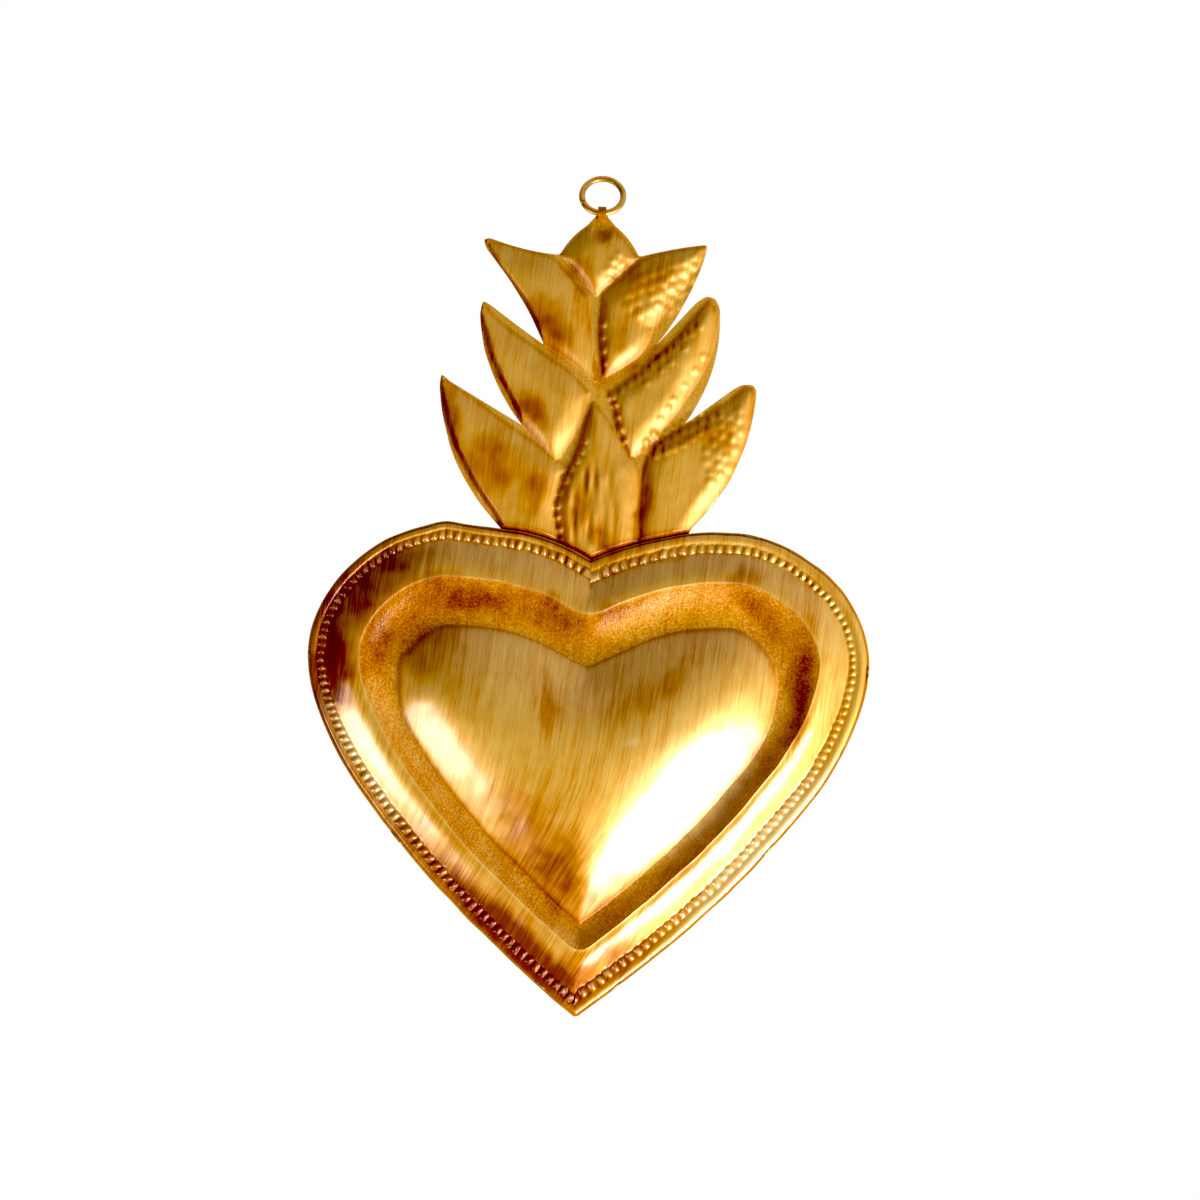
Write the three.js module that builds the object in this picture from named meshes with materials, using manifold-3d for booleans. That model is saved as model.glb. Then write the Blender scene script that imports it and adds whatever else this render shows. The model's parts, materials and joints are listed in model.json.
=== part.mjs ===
// Sacred heart ornament in embossed sheet metal: a puffed heart closed by a plain back sheet, a crown of
// flame leaves lapped behind it, and a wire ring that turns in the folded tongue at the crown's top.
// Millimetres, +Z up, the front faces -Y. The ornament hangs by the ring, and the origin is the middle of
// the ring's eye.

import * as THREE from 'three';
import { mergeVertices } from 'three/addons/utils/BufferGeometryUtils.js';
import Module from 'manifold-3d';

// Sheet metal and ring
const SHEET = 0.4;
const RING_OUTSIDE = 9.3;
const RING_WIRE = 1.2;
const RING_LEAN_DEGREES = 30;
const HINGE_CLEARANCE = 0.3;

// Folded tongue that holds the ring: its width, the bud's tip below the hinge, and how it closes under the wire
const TONGUE_WIDTH = 1.6;
const TONGUE_X = -0.4;
const BUD_TO_HINGE = 0.9;
const TONGUE_PINCH = 1.7;
const TONGUE_LAP = 0.7;
const TONGUE_ROOT = 2.6;

// Heart outline, measured from its bottom tip. A reach is how far a curve runs on in an end's own direction.
const HEART_HALF_WIDTH = 54.4;
const WIDEST_HEIGHT = 69.3;
const LOBE_TOP_X = 28;
const LOBE_TOP_HEIGHT = 94.4;
const NOTCH_HEIGHT = 88.2;
const TIP_REACH = 38;
const TIP_SLOPE_DEGREES = 37.5;
const SIDE_REACH_DOWN = 19;
const SIDE_REACH_UP = 13.5;
const LOBE_REACH_OUT = 12;
const LOBE_REACH_IN = 13;
const NOTCH_REACH = 9;
const NOTCH_SLOPE_DEGREES = 27;

// Heart relief, from the rim inwards. A rise is a height above the flat rim.
const BEAD_INSET = 2;
const BEAD_WIDTH = 1.6;
const BEAD_RISE = 0.5;
const BORDER_WIDTH = 6.6;
const BORDER_RISE = 3.8;
const BORDER_SWELL = 0.5;
const GROOVE_RISE = 1.3;
const GROOVE_WIDTH = 8.8;
const GROOVE_TIP_WIDTH = 3.8;
const DOME_HEIGHT = 8.6;
const DOME_SHOULDER = 16;
const DOME_CENTRE_HEIGHT = 50;
const BACK_LEDGE = 0.6;

// Crown relief and the tab that goes down behind the heart
const LEAF_RISE = 2;
const LEAF_MARGIN = 0.45;
const LAP_CLEARANCE = 0.6;
const LAP_RUN = 5;
const TONGUE_RUN = 2.5;
const TAB_DEPTH = 9;
const TAB_HALF_WIDTH = 13;

// Solder
const TACK_LENGTH = 3.2;
const TACK_WIDTH = 0.5;
const TACK_RISE = 0.3;
const CROWN_SOLDER_LENGTH = 8;
const CROWN_SOLDER_WIDTH = 1.6;
const CROWN_SOLDER_RISE = 0.7;
const SOLDER_GAP = 0.1;

// Where the tacks sit on each half of the rim, as shares of the way from the notch to the tip
const TACK_PLACES = [0.2, 0.44, 0.69, 0.94];

// Share of the way from the notch to the tip where the groove starts to narrow
const GROOVE_NARROWS = 0.5;

// Groove profile: share of the way from the crest to the dome's foot, share of the drop that is left
const GROOVE_PROFILE = [[0.4, 0.3], [1, 0]];

// Dome: its loops as shares of its foot outline, how its shoulder bends and the least distance from a line
const DOME_LOOPS = [0.94, 0.86, 0.74, 0.58, 0.38];
const DOME_BEND = 1.7;
const LEAST_GAP = 0.05;

// Leaf profile: share of the way out from the spine to the edge, share of the leaf's rise
const LEAF_PROFILE = [[0.78, 0.55], [0.5, 0.88], [0.14, 1]];
const SPINE_TO_TIP = 0.65;
const SPINE_TO_HEEL = 0.5;

// Solder profile: share of the half width, share of the rise
const SOLDER_PROFILE = [[0, 0], [1, 0], [0.9, 0.45], [0.6, 0.85], [0, 1]];

// Points of the crown, X and height above the heart's notch
const BASE_LEFT = [-17.9, 6.1];
const BASE_RIGHT = [19.1, 7.2];
const LOW_NOTCH_LEFT = [-14.4, 26.5];
const LOW_NOTCH_RIGHT = [17.2, 28];
const HIGH_NOTCH_LEFT = [-10.8, 42.3];
const HIGH_NOTCH_RIGHT = [10.9, 43.1];
const BUD_LEFT = [-8.4, 60.1];
const BUD_RIGHT = [7.1, 60.2];
const BUD_TIP = [-0.8, 67.6];
const BUD_FOOT = [-1, 53];
const STEM_FOOT = [0, 35.5];
const HEEL_LEFT = [-8.3, 20.2];
const HEEL_RIGHT = [7.5, 21.6];
const CENTRE_TOP = [0.9, 31.6];
const CENTRE_LEFT = [-6.9, 14];
const CENTRE_RIGHT = [9.3, 13];
const CENTRE_BASE_LEFT = [-6.9, 4.2];
const CENTRE_BASE_RIGHT = [8, 4.6];
const CENTRE_FOOT = [0, 0.8];
const LOWER_TIP_LEFT = [-31, 35.7];
const LOWER_TIP_RIGHT = [30.8, 35.4];
const LOWER_TIP_RIGHT_END = [28, 35.8];
const MIDDLE_TIP_LEFT = [-23.4, 50.4];
const MIDDLE_TIP_RIGHT = [23.3, 51.2];
const MIDDLE_TIP_RIGHT_END = [21.6, 52.6];
const UPPER_TIP_LEFT = [-22.9, 62.7];
const UPPER_TIP_RIGHT = [20.2, 62.7];

// How far each leaf's outer side bows outwards
const LOWER_BOW = 3;
const MIDDLE_BOW = 2;
const UPPER_BOW_LEFT = -0.8;
const UPPER_BOW_RIGHT = 1.2;
const BUD_BOW = 0.5;

// Leaves that show on the crown's edge, counter-clockwise from the lower right. Each runs along the edge
// from one point over its tip to the next, and back inside over its roots. The bows are those of its two sides.
const EDGE_LEAVES = [
  { from: BASE_RIGHT, tip: [LOWER_TIP_RIGHT, LOWER_TIP_RIGHT_END], to: LOW_NOTCH_RIGHT, bows: [LOWER_BOW, 0],
    roots: [HEEL_RIGHT, CENTRE_RIGHT, CENTRE_BASE_RIGHT], heel: CENTRE_RIGHT },
  { from: LOW_NOTCH_RIGHT, tip: [MIDDLE_TIP_RIGHT, MIDDLE_TIP_RIGHT_END], to: HIGH_NOTCH_RIGHT,
    bows: [MIDDLE_BOW, 0], roots: [STEM_FOOT, CENTRE_TOP, HEEL_RIGHT], heel: HEEL_RIGHT },
  { from: HIGH_NOTCH_RIGHT, tip: [UPPER_TIP_RIGHT], to: BUD_RIGHT, bows: [UPPER_BOW_RIGHT, 0],
    roots: [BUD_FOOT, STEM_FOOT], heel: STEM_FOOT },
  { from: BUD_RIGHT, tip: [BUD_TIP], to: BUD_LEFT, bows: [BUD_BOW, BUD_BOW],
    roots: [BUD_FOOT], heel: BUD_FOOT },
  { from: BUD_LEFT, tip: [UPPER_TIP_LEFT], to: HIGH_NOTCH_LEFT, bows: [0, UPPER_BOW_LEFT],
    roots: [STEM_FOOT, BUD_FOOT], heel: STEM_FOOT },
  { from: HIGH_NOTCH_LEFT, tip: [MIDDLE_TIP_LEFT], to: LOW_NOTCH_LEFT, bows: [0, MIDDLE_BOW],
    roots: [HEEL_LEFT, CENTRE_TOP, STEM_FOOT], heel: HEEL_LEFT },
  { from: LOW_NOTCH_LEFT, tip: [LOWER_TIP_LEFT], to: BASE_LEFT, bows: [0, LOWER_BOW],
    roots: [CENTRE_BASE_LEFT, CENTRE_LEFT, HEEL_LEFT], heel: CENTRE_LEFT },
];

// The tall leaf in the middle of the crown
const CENTRE_LEAF = {
  outline: [CENTRE_FOOT, CENTRE_BASE_RIGHT, CENTRE_RIGHT, HEEL_RIGHT, CENTRE_TOP, HEEL_LEFT, CENTRE_LEFT,
    CENTRE_BASE_LEFT],
  tip: CENTRE_TOP,
  heel: CENTRE_FOOT,
};

// How finely the surfaces are divided
const HEART_STEPS = 40;
const CURVE_DIVISIONS = 60;
const LEAF_STEP = 3.2;
const WIRE_SIDES = 10;
const RING_STEPS = 36;
const TONGUE_STEPS = 8;
const SOLDER_SIDES = 10;
const LEDGE_STEPS = 200;

// Finishes: colour and roughness
const GILT_SHEET = [0xb98a3c, 0.36];
const BACK_SHEET = [0xa87a35, 0.45];
const RING_METAL = [0xb08a4a, 0.35];
const GILT_SOLDER = [0x9a7a45, 0.5];

// Sizes that follow from the ones above
const ringRadius = (RING_OUTSIDE - RING_WIRE) / 2;
const ringLean = THREE.MathUtils.degToRad(RING_LEAN_DEGREES);
const tongueInside = RING_WIRE / 2 + HINGE_CLEARANCE;
const borderInset = BEAD_INSET + BEAD_WIDTH / 2;
const crestInset = borderInset + BORDER_WIDTH;
const hingeHeight = BUD_TIP[1] + BUD_TO_HINGE;

const backEdge = insetHalf(() => -BACK_LEDGE);

const wasm = await Module();
wasm.setup();

function onSlope(length, degrees) {
  const angle = THREE.MathUtils.degToRad(degrees);
  return [length * Math.cos(angle), length * Math.sin(angle)];
}

// Right half of the heart's outline, from the notch over the lobe to the tip
function halfOutline() {
  const [notchX, notchUp] = onSlope(NOTCH_REACH, NOTCH_SLOPE_DEGREES);
  const [tipX, tipUp] = onSlope(TIP_REACH, TIP_SLOPE_DEGREES);
  const path = new THREE.Path();
  path.moveTo(0, NOTCH_HEIGHT);
  path.bezierCurveTo(notchX, NOTCH_HEIGHT + notchUp, LOBE_TOP_X - LOBE_REACH_IN, LOBE_TOP_HEIGHT,
    LOBE_TOP_X, LOBE_TOP_HEIGHT);
  path.bezierCurveTo(LOBE_TOP_X + LOBE_REACH_OUT, LOBE_TOP_HEIGHT, HEART_HALF_WIDTH,
    WIDEST_HEIGHT + SIDE_REACH_UP, HEART_HALF_WIDTH, WIDEST_HEIGHT);
  path.bezierCurveTo(HEART_HALF_WIDTH, WIDEST_HEIGHT - SIDE_REACH_DOWN, tipX, tipUp, 0, 0);
  return path.getPoints(CURVE_DIVISIONS);
}

// Where the line through two points meets the heart's axis
function onAxis(a, b) {
  const share = a.x / (a.x - b.x);
  return new THREE.Vector2(0, a.y + share * (b.y - a.y));
}

// Half outline moved inwards by a distance that may change along the way, cut or run on to the axis at its ends
function insetHalf(inset) {
  const outline = halfOutline();
  const last = outline.length - 1;
  const moved = outline.map((point, i) => {
    const along = outline[Math.min(i + 1, last)].clone().sub(outline[Math.max(i - 1, 0)]).normalize();
    const inward = new THREE.Vector2(along.y, -along.x);
    return point.clone().addScaledVector(inward, inset(i / last));
  });
  const inside = moved.filter((point) => point.x > 0);
  const first = moved.indexOf(inside[0]);
  const end = moved.indexOf(inside[inside.length - 1]);
  const before = first > 0 ? moved[first - 1] : inside[1];
  const after = end < last ? moved[end + 1] : inside[inside.length - 2];
  return [onAxis(inside[0], before), ...inside, onAxis(inside[inside.length - 1], after)];
}

// The same number of evenly spaced points along any polyline
function evenPoints(points, steps) {
  const path = new THREE.CurvePath();
  for (let i = 1; i < points.length; i += 1) {
    path.add(new THREE.LineCurve(points[i - 1], points[i]));
  }
  return Array.from({ length: steps + 1 }, (_, i) => path.getPointAt(i / steps));
}

// Whole heart loop at an inset, clockwise from the notch: down the right half, up the left half
function heartLoop(inset) {
  const right = evenPoints(insetHalf(inset), HEART_STEPS);
  const left = right.slice(1, -1).reverse().map((point) => new THREE.Vector2(-point.x, point.y));
  return [...right, ...left];
}

// Sheet of one thickness from surface points (x, z, rise), faces seen from the front and its cut edge
function sheetGeometry(points, faces, edge) {
  const positions = [];
  for (const [x, z, rise] of points) {
    positions.push(x, -SHEET - rise, z);
  }
  for (const [x, z, rise] of points) {
    positions.push(x, -rise, z);
  }
  const behind = points.length;
  const index = [];
  for (const [a, b, c] of faces) {
    index.push(a, b, c);
    index.push(behind + a, behind + c, behind + b);
  }
  edge.forEach((start, i) => {
    const end = edge[(i + 1) % edge.length];
    index.push(start, behind + start, behind + end);
    index.push(start, behind + end, end);
  });
  const geometry = new THREE.BufferGeometry();
  geometry.setAttribute('position', new THREE.Float32BufferAttribute(positions, 3));
  geometry.setIndex(index);
  geometry.computeVertexNormals();
  return geometry;
}

// Faces between two counter-clockwise loops of equal length, the outer one given first
function bandFaces(outer, inner, count) {
  const faces = [];
  for (let i = 0; i < count; i += 1) {
    const next = (i + 1) % count;
    faces.push([outer + i, outer + next, inner + next]);
    faces.push([outer + i, inner + next, inner + i]);
  }
  return faces;
}

// The groove has one width round the lobe and narrows down the side to the tip
function grooveWidth(share) {
  const down = Math.max(0, THREE.MathUtils.inverseLerp(GROOVE_NARROWS, 1, share));
  return THREE.MathUtils.lerp(GROOVE_WIDTH, GROOVE_TIP_WIDTH, down);
}

// Running sum of 1 / distance ** 4 along a straight line that passes a place at that gap
function pullReach(along, gap) {
  return along / (2 * gap ** 2 * (gap ** 2 + along ** 2)) + Math.atan(along / gap) / (2 * gap ** 3);
}

// Distance from a place inside a closed outline to all of it at once, so that no ridge shows between its sides
function smoothDistance(outline, [x, z]) {
  const pulls = outline.map(([ax, az], i) => {
    const [bx, bz] = outline[(i + 1) % outline.length];
    const length = Math.hypot(bx - ax, bz - az);
    const near = ((ax - x) * (bx - ax) + (az - z) * (bz - az)) / length;
    const gap = Math.abs((ax - x) * (bz - az) - (az - z) * (bx - ax)) / length;
    const kept = Math.max(LEAST_GAP, gap);
    return pullReach(near + length, kept) - pullReach(near, kept);
  });
  const pull = pulls.reduce((sum, value) => sum + value, 0);
  return (pull / (Math.PI / 2)) ** (-1 / 3);
}

// Height of the dome above the groove: it rises over its shoulder from its foot
function domeRise(foot, place) {
  const left = Math.max(0, 1 - smoothDistance(foot, place) / DOME_SHOULDER);
  return DOME_HEIGHT * (1 - left ** DOME_BEND);
}

// Embossed front of the heart: nested loops from the cut edge to the middle of the dome
function heartFrontGeometry() {
  const swellInset = borderInset + BORDER_WIDTH / 2;
  const swellRise = BORDER_RISE / 2 + BORDER_SWELL;
  const stations = [
    [() => 0, 0],
    [() => BEAD_INSET - BEAD_WIDTH / 2, 0],
    [() => BEAD_INSET, BEAD_RISE],
    [() => borderInset, 0],
    [() => swellInset, swellRise],
    [() => crestInset, BORDER_RISE],
  ];
  for (const [across, left] of GROOVE_PROFILE) {
    const inset = (share) => crestInset + across * grooveWidth(share);
    stations.push([inset, THREE.MathUtils.lerp(GROOVE_RISE, BORDER_RISE, left)]);
  }
  const loops = stations.map(([inset, rise]) => heartLoop(inset).reverse().map(({ x, y }) => [x, y, rise]));
  const foot = loops[loops.length - 1];
  for (const spread of DOME_LOOPS) {
    const inner = foot.map(([x, z]) => [x * spread, THREE.MathUtils.lerp(DOME_CENTRE_HEIGHT, z, spread)]);
    loops.push(inner.map(([x, z]) => [x, z, GROOVE_RISE + domeRise(foot, [x, z])]));
  }
  const count = foot.length;
  const points = loops.flat();
  const faces = loops.slice(1).flatMap((_, i) => bandFaces(i * count, (i + 1) * count, count));
  const top = points.length;
  const innermost = top - count;
  points.push([0, DOME_CENTRE_HEIGHT, GROOVE_RISE + domeRise(foot, [0, DOME_CENTRE_HEIGHT])]);
  for (let i = 0; i < count; i += 1) {
    faces.push([innermost + i, innermost + (i + 1) % count, top]);
  }
  return sheetGeometry(points, faces, Array.from({ length: count }, (_, i) => i));
}

// Plain back of the heart: the same outline, standing proud of the front by the ledge
function heartBackGeometry() {
  const outline = heartLoop(() => -BACK_LEDGE).reverse();
  const points = outline.map(({ x, y }) => [x, y, 0]);
  const faces = THREE.ShapeUtils.triangulateShape(outline, []);
  return sheetGeometry(points, faces, outline.map((_, i) => i));
}

// Height of the back sheet's upper edge above the notch, at a place across the heart
function lapHeight(x) {
  const reach = Math.abs(x);
  const next = Math.max(1, backEdge.findIndex((point) => point.x > reach));
  const [a, b] = [backEdge[next - 1], backEdge[next]];
  return THREE.MathUtils.mapLinear(reach, a.x, b.x, a.y, b.y) - NOTCH_HEIGHT;
}

// Share of a leaf's rise at a place: none where the heart laps over the crown or the tongue is pressed on it
function riseShare(x, z) {
  const aboveLap = z - lapHeight(x) - LAP_CLEARANCE;
  const belowTongue = hingeHeight - TONGUE_ROOT - z;
  const lapShare = THREE.MathUtils.smoothstep(aboveLap, 0, LAP_RUN);
  return lapShare * THREE.MathUtils.smoothstep(belowTongue, 0, TONGUE_RUN);
}

const toVector = ([x, z]) => new THREE.Vector2(x, z);

// Points along a run that bows out to the right of its direction, without its last point
function bowedRun(from, to, bow) {
  const [start, end] = [toVector(from), toVector(to)];
  const along = end.clone().sub(start);
  const outward = new THREE.Vector2(along.y, -along.x).normalize();
  const control = start.clone().add(end).multiplyScalar(0.5).addScaledVector(outward, 2 * bow);
  const steps = Math.max(1, Math.round(along.length() / LEAF_STEP));
  return new THREE.QuadraticBezierCurve(start, control, end).getPoints(steps).slice(0, -1);
}

// A leaf's stretch of the crown's cut edge, without its last point
function cutEdge({ from, tip, to, bows }) {
  const crossing = tip.slice(1).flatMap((point, i) => bowedRun(tip[i], point, 0));
  return [...bowedRun(from, tip[0], bows[0]), ...crossing, ...bowedRun(tip[tip.length - 1], to, bows[1])];
}

function straightRuns(points) {
  return points.slice(1).flatMap((point, i) => bowedRun(points[i], point, 0));
}

// Closed loop moved inwards by the leaf's margin, square to both of its neighbours at each corner
function insetLoop(loop) {
  const count = loop.length;
  const inward = loop.map((point, i) => {
    const along = loop[(i + 1) % count].clone().sub(point).normalize();
    return new THREE.Vector2(-along.y, along.x);
  });
  return loop.map((point, i) => {
    const before = inward[(i + count - 1) % count];
    const corner = before.clone().add(inward[i]);
    return point.clone().addScaledVector(corner, LEAF_MARGIN / (1 + before.dot(inward[i])));
  });
}

function nearestOnSpine(point, start, end) {
  const spine = end.clone().sub(start);
  const share = THREE.MathUtils.clamp(point.clone().sub(start).dot(spine) / spine.lengthSq(), 0, 1);
  return start.clone().addScaledVector(spine, share);
}

// Pillow relief of one leaf: its edge loop, and the loops drawn in towards its spine with their rises
function leafRelief(outline, tip, heel) {
  const edge = insetLoop(outline);
  const middle = edge.reduce((sum, point) => sum.add(point), new THREE.Vector2()).divideScalar(edge.length);
  const spineEnd = middle.clone().lerp(toVector(tip), SPINE_TO_TIP);
  const spineStart = middle.clone().lerp(toVector(heel), SPINE_TO_HEEL);
  const loops = [edge.map(({ x, y }) => [x, y, 0])];
  for (const [spread, share] of LEAF_PROFILE) {
    loops.push(edge.map((point) => {
      const { x, y } = nearestOnSpine(point, spineStart, spineEnd).lerp(point, spread);
      return [x, y, LEAF_RISE * share * riseShare(x, y)];
    }));
  }
  return { edge, loops };
}

function allLeaves() {
  const edgeLeaves = EDGE_LEAVES.map((leaf) => {
    const outline = [...cutEdge(leaf), ...straightRuns([leaf.to, ...leaf.roots, leaf.from])];
    return leafRelief(outline, leaf.tip[0], leaf.heel);
  });
  const { outline, tip, heel } = CENTRE_LEAF;
  return [...edgeLeaves, leafRelief(straightRuns([...outline, outline[0]]), tip, heel)];
}

// Crown sheet: flat land with the leaves pressed out of it, and the tab that goes down behind the heart
function crownSheetGeometry() {
  const tabCorners = [[-TAB_HALF_WIDTH, -TAB_DEPTH], [TAB_HALF_WIDTH, -TAB_DEPTH]];
  const tab = straightRuns([BASE_LEFT, ...tabCorners, BASE_RIGHT]);
  const contour = [...EDGE_LEAVES.flatMap(cutEdge), ...tab];
  const leaves = allLeaves();
  const points = contour.map(({ x, y }) => [x, y, 0]);
  const faces = [];
  const landIndex = contour.map((_, i) => i);
  for (const { edge, loops } of leaves) {
    const count = edge.length;
    const first = points.length;
    points.push(...loops.flat());
    landIndex.push(...edge.map((_, i) => first + count - 1 - i));
    loops.slice(1).forEach((_, i) => {
      faces.push(...bandFaces(first + i * count, first + (i + 1) * count, count));
    });
    const ridge = first + (loops.length - 1) * count;
    const ridgeLoop = loops[loops.length - 1].map(toVector);
    for (const face of THREE.ShapeUtils.triangulateShape(ridgeLoop, [])) {
      faces.push(face.map((corner) => ridge + corner));
    }
  }
  const holes = leaves.map(({ edge }) => [...edge].reverse());
  for (const face of THREE.ShapeUtils.triangulateShape(contour, holes)) {
    faces.push(face.map((corner) => landIndex[corner]));
  }
  return sheetGeometry(points, faces, contour.map((_, i) => i));
}

// Tongue folded forward over the ring's wire and pressed on the bud, drawn across the hinge: y, then height
function tongueGeometry() {
  const inside = tongueInside;
  const outside = tongueInside + SHEET;
  const pressed = inside - SHEET;
  const shape = new THREE.Shape();
  shape.moveTo(outside, -TONGUE_ROOT);
  shape.lineTo(outside, 0);
  shape.absarc(0, 0, outside, 0, Math.PI);
  shape.bezierCurveTo(-outside, -TONGUE_PINCH / 2, pressed, -TONGUE_PINCH / 2, pressed, -TONGUE_PINCH);
  shape.lineTo(pressed, -TONGUE_PINCH - TONGUE_LAP);
  shape.lineTo(inside, -TONGUE_PINCH - TONGUE_LAP);
  shape.lineTo(inside, -TONGUE_ROOT);
  const eye = new THREE.Path();
  eye.moveTo(inside, 0);
  eye.absarc(0, 0, inside, 0, Math.PI);
  eye.bezierCurveTo(-inside, -TONGUE_PINCH / 2, inside, -TONGUE_PINCH / 2, inside, -TONGUE_PINCH);
  shape.holes.push(eye);
  const extrusion = { depth: TONGUE_WIDTH, bevelEnabled: false, curveSegments: TONGUE_STEPS };
  const geometry = new THREE.ExtrudeGeometry(shape, extrusion);
  geometry.translate(0, 0, -TONGUE_WIDTH / 2);
  const across = new THREE.Vector3(1, 0, 0);
  const back = new THREE.Vector3(0, 1, 0);
  const up = new THREE.Vector3(0, 0, 1);
  geometry.applyMatrix4(new THREE.Matrix4().makeBasis(back, up, across));
  return geometry.translate(TONGUE_X, -SHEET - tongueInside, hingeHeight);
}

function toSolid(geometry) {
  const bare = geometry.clone();
  bare.deleteAttribute('normal');
  bare.deleteAttribute('uv');
  const merged = mergeVertices(bare);
  return new wasm.Manifold(new wasm.Mesh({
    numProp: 3,
    vertProperties: new Float32Array(merged.attributes.position.array),
    triVerts: new Uint32Array(merged.index.array),
  }));
}

function joined(first, second) {
  const mesh = toSolid(first).add(toSolid(second)).getMesh();
  const geometry = new THREE.BufferGeometry();
  geometry.setAttribute('position', new THREE.BufferAttribute(mesh.vertProperties, 3));
  geometry.setIndex(new THREE.BufferAttribute(mesh.triVerts, 1));
  geometry.computeVertexNormals();
  return geometry;
}

// Drop of solder with a flat foot, long along a direction in the sheet and domed to the front (-1) or back (+1)
function solderGeometry(length, width, rise, along, facing) {
  const geometry = new THREE.LatheGeometry(SOLDER_PROFILE.map(toVector), SOLDER_SIDES);
  geometry.scale(length / 2, rise, width / 2);
  const lengthwise = new THREE.Vector3(along.x, 0, along.y);
  const domed = new THREE.Vector3(0, facing, 0);
  const across = new THREE.Vector3().crossVectors(lengthwise, domed);
  return geometry.applyMatrix4(new THREE.Matrix4().makeBasis(lengthwise, domed, across));
}

function mesh(name, geometry, [color, roughness]) {
  const material = new THREE.MeshStandardMaterial({ color, roughness, metalness: 1 });
  const result = new THREE.Mesh(geometry, material);
  result.name = name;
  return result;
}

function hangingRing() {
  const geometry = new THREE.TorusGeometry(ringRadius, RING_WIRE / 2, WIRE_SIDES, RING_STEPS);
  const ring = mesh('hanging_ring', geometry, RING_METAL);
  ring.rotation.x = Math.PI / 2 - ringLean;
  return ring;
}

// Tacks on the ledge between the front's edge and the back's edge, the right half first
function rimTacks() {
  const tacks = [];
  const ledge = evenPoints(insetHalf(() => -BACK_LEDGE / 2), LEDGE_STEPS);
  for (const side of [1, -1]) {
    for (const place of TACK_PLACES) {
      const [before, at, after] = ledge.slice(Math.round(place * LEDGE_STEPS) - 1);
      const along = after.clone().sub(before).normalize();
      along.x *= side;
      const geometry = solderGeometry(TACK_LENGTH, TACK_WIDTH, TACK_RISE, along, -1);
      const tack = mesh(`rim_tack_${tacks.length + 1}`, geometry, GILT_SOLDER);
      tack.position.set(side * at.x, 0, at.y);
      tacks.push(tack);
    }
  }
  return tacks;
}

// Solder along the tab's two sides, on the back of the heart's back sheet
function crownSolder() {
  return [['left', -1, BASE_LEFT], ['right', 1, BASE_RIGHT]].map(([name, side, base]) => {
    const corner = new THREE.Vector2(side * TAB_HALF_WIDTH, -TAB_DEPTH);
    const along = toVector(base).sub(corner).normalize();
    const outward = new THREE.Vector2(along.y, -along.x).multiplyScalar(side);
    const place = corner.clone().addScaledVector(along, CROWN_SOLDER_LENGTH / 2);
    place.addScaledVector(outward, CROWN_SOLDER_WIDTH / 2 + SOLDER_GAP);
    const geometry = solderGeometry(CROWN_SOLDER_LENGTH, CROWN_SOLDER_WIDTH, CROWN_SOLDER_RISE, along, 1);
    const drop = mesh(`crown_solder_${name}`, geometry, GILT_SOLDER);
    drop.position.set(place.x, -SHEET, place.y);
    return drop;
  });
}

// The front rim rests on the back sheet's face at y = 0
function heart() {
  const group = new THREE.Group();
  const back = mesh('heart_back', heartBackGeometry(), BACK_SHEET);
  back.position.y = SHEET;
  group.add(mesh('heart_front', heartFrontGeometry(), GILT_SHEET), back, ...rimTacks());
  return group;
}

// The crown's front face carries the back of the heart, with the heart's notch at the crown's zero height
function crown() {
  const group = new THREE.Group();
  group.add(mesh('crown', joined(crownSheetGeometry(), tongueGeometry()), GILT_SHEET), ...crownSolder());
  const lappedHeart = heart();
  lappedHeart.position.set(0, -2 * SHEET, -NOTCH_HEIGHT);
  group.add(lappedHeart);
  return group;
}

// The ring's wire passes through the tongue at the hinge, below the middle of the eye
function ornament() {
  const group = new THREE.Group();
  const hinge = new THREE.Group();
  hinge.position.set(0, -ringRadius * Math.sin(ringLean), -ringRadius * Math.cos(ringLean));
  const hung = crown();
  hung.position.set(-TONGUE_X, tongueInside + SHEET, -hingeHeight);
  hinge.add(hung);
  group.add(hangingRing(), hinge);
  return group;
}

export default ornament();
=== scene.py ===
"""A hand-embossed sheet-metal heart with a crown of flame leaves, hung by a wire ring.

Shapes are worked out in millimetres and turned into metres when a mesh is made.
Heart places are (x from the heart's axis, z above its tip); crown places are (x, height above the notch).
"""

import json
import math

import bpy
import numpy as np
from mathutils import Matrix, Vector
from mathutils.geometry import delaunay_2d_cdt


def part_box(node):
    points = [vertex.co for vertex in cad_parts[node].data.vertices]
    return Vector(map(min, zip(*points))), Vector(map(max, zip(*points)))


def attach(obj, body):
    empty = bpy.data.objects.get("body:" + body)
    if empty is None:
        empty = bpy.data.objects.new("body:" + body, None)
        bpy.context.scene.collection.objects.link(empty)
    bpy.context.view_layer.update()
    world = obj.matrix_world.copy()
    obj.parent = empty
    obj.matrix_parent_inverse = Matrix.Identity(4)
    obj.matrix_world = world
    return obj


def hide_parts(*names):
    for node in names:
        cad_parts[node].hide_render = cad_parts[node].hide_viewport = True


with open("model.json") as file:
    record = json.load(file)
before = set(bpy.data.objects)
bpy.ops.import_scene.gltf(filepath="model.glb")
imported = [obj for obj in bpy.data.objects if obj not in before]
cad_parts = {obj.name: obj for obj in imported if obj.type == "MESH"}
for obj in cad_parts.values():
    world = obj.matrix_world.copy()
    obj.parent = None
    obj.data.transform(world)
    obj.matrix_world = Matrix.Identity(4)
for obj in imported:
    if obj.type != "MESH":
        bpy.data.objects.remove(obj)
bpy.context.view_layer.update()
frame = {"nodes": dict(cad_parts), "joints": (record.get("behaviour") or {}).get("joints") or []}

# Sheet and placing, from the frame
MM = 1000.0
SHEET = 0.4
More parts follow.
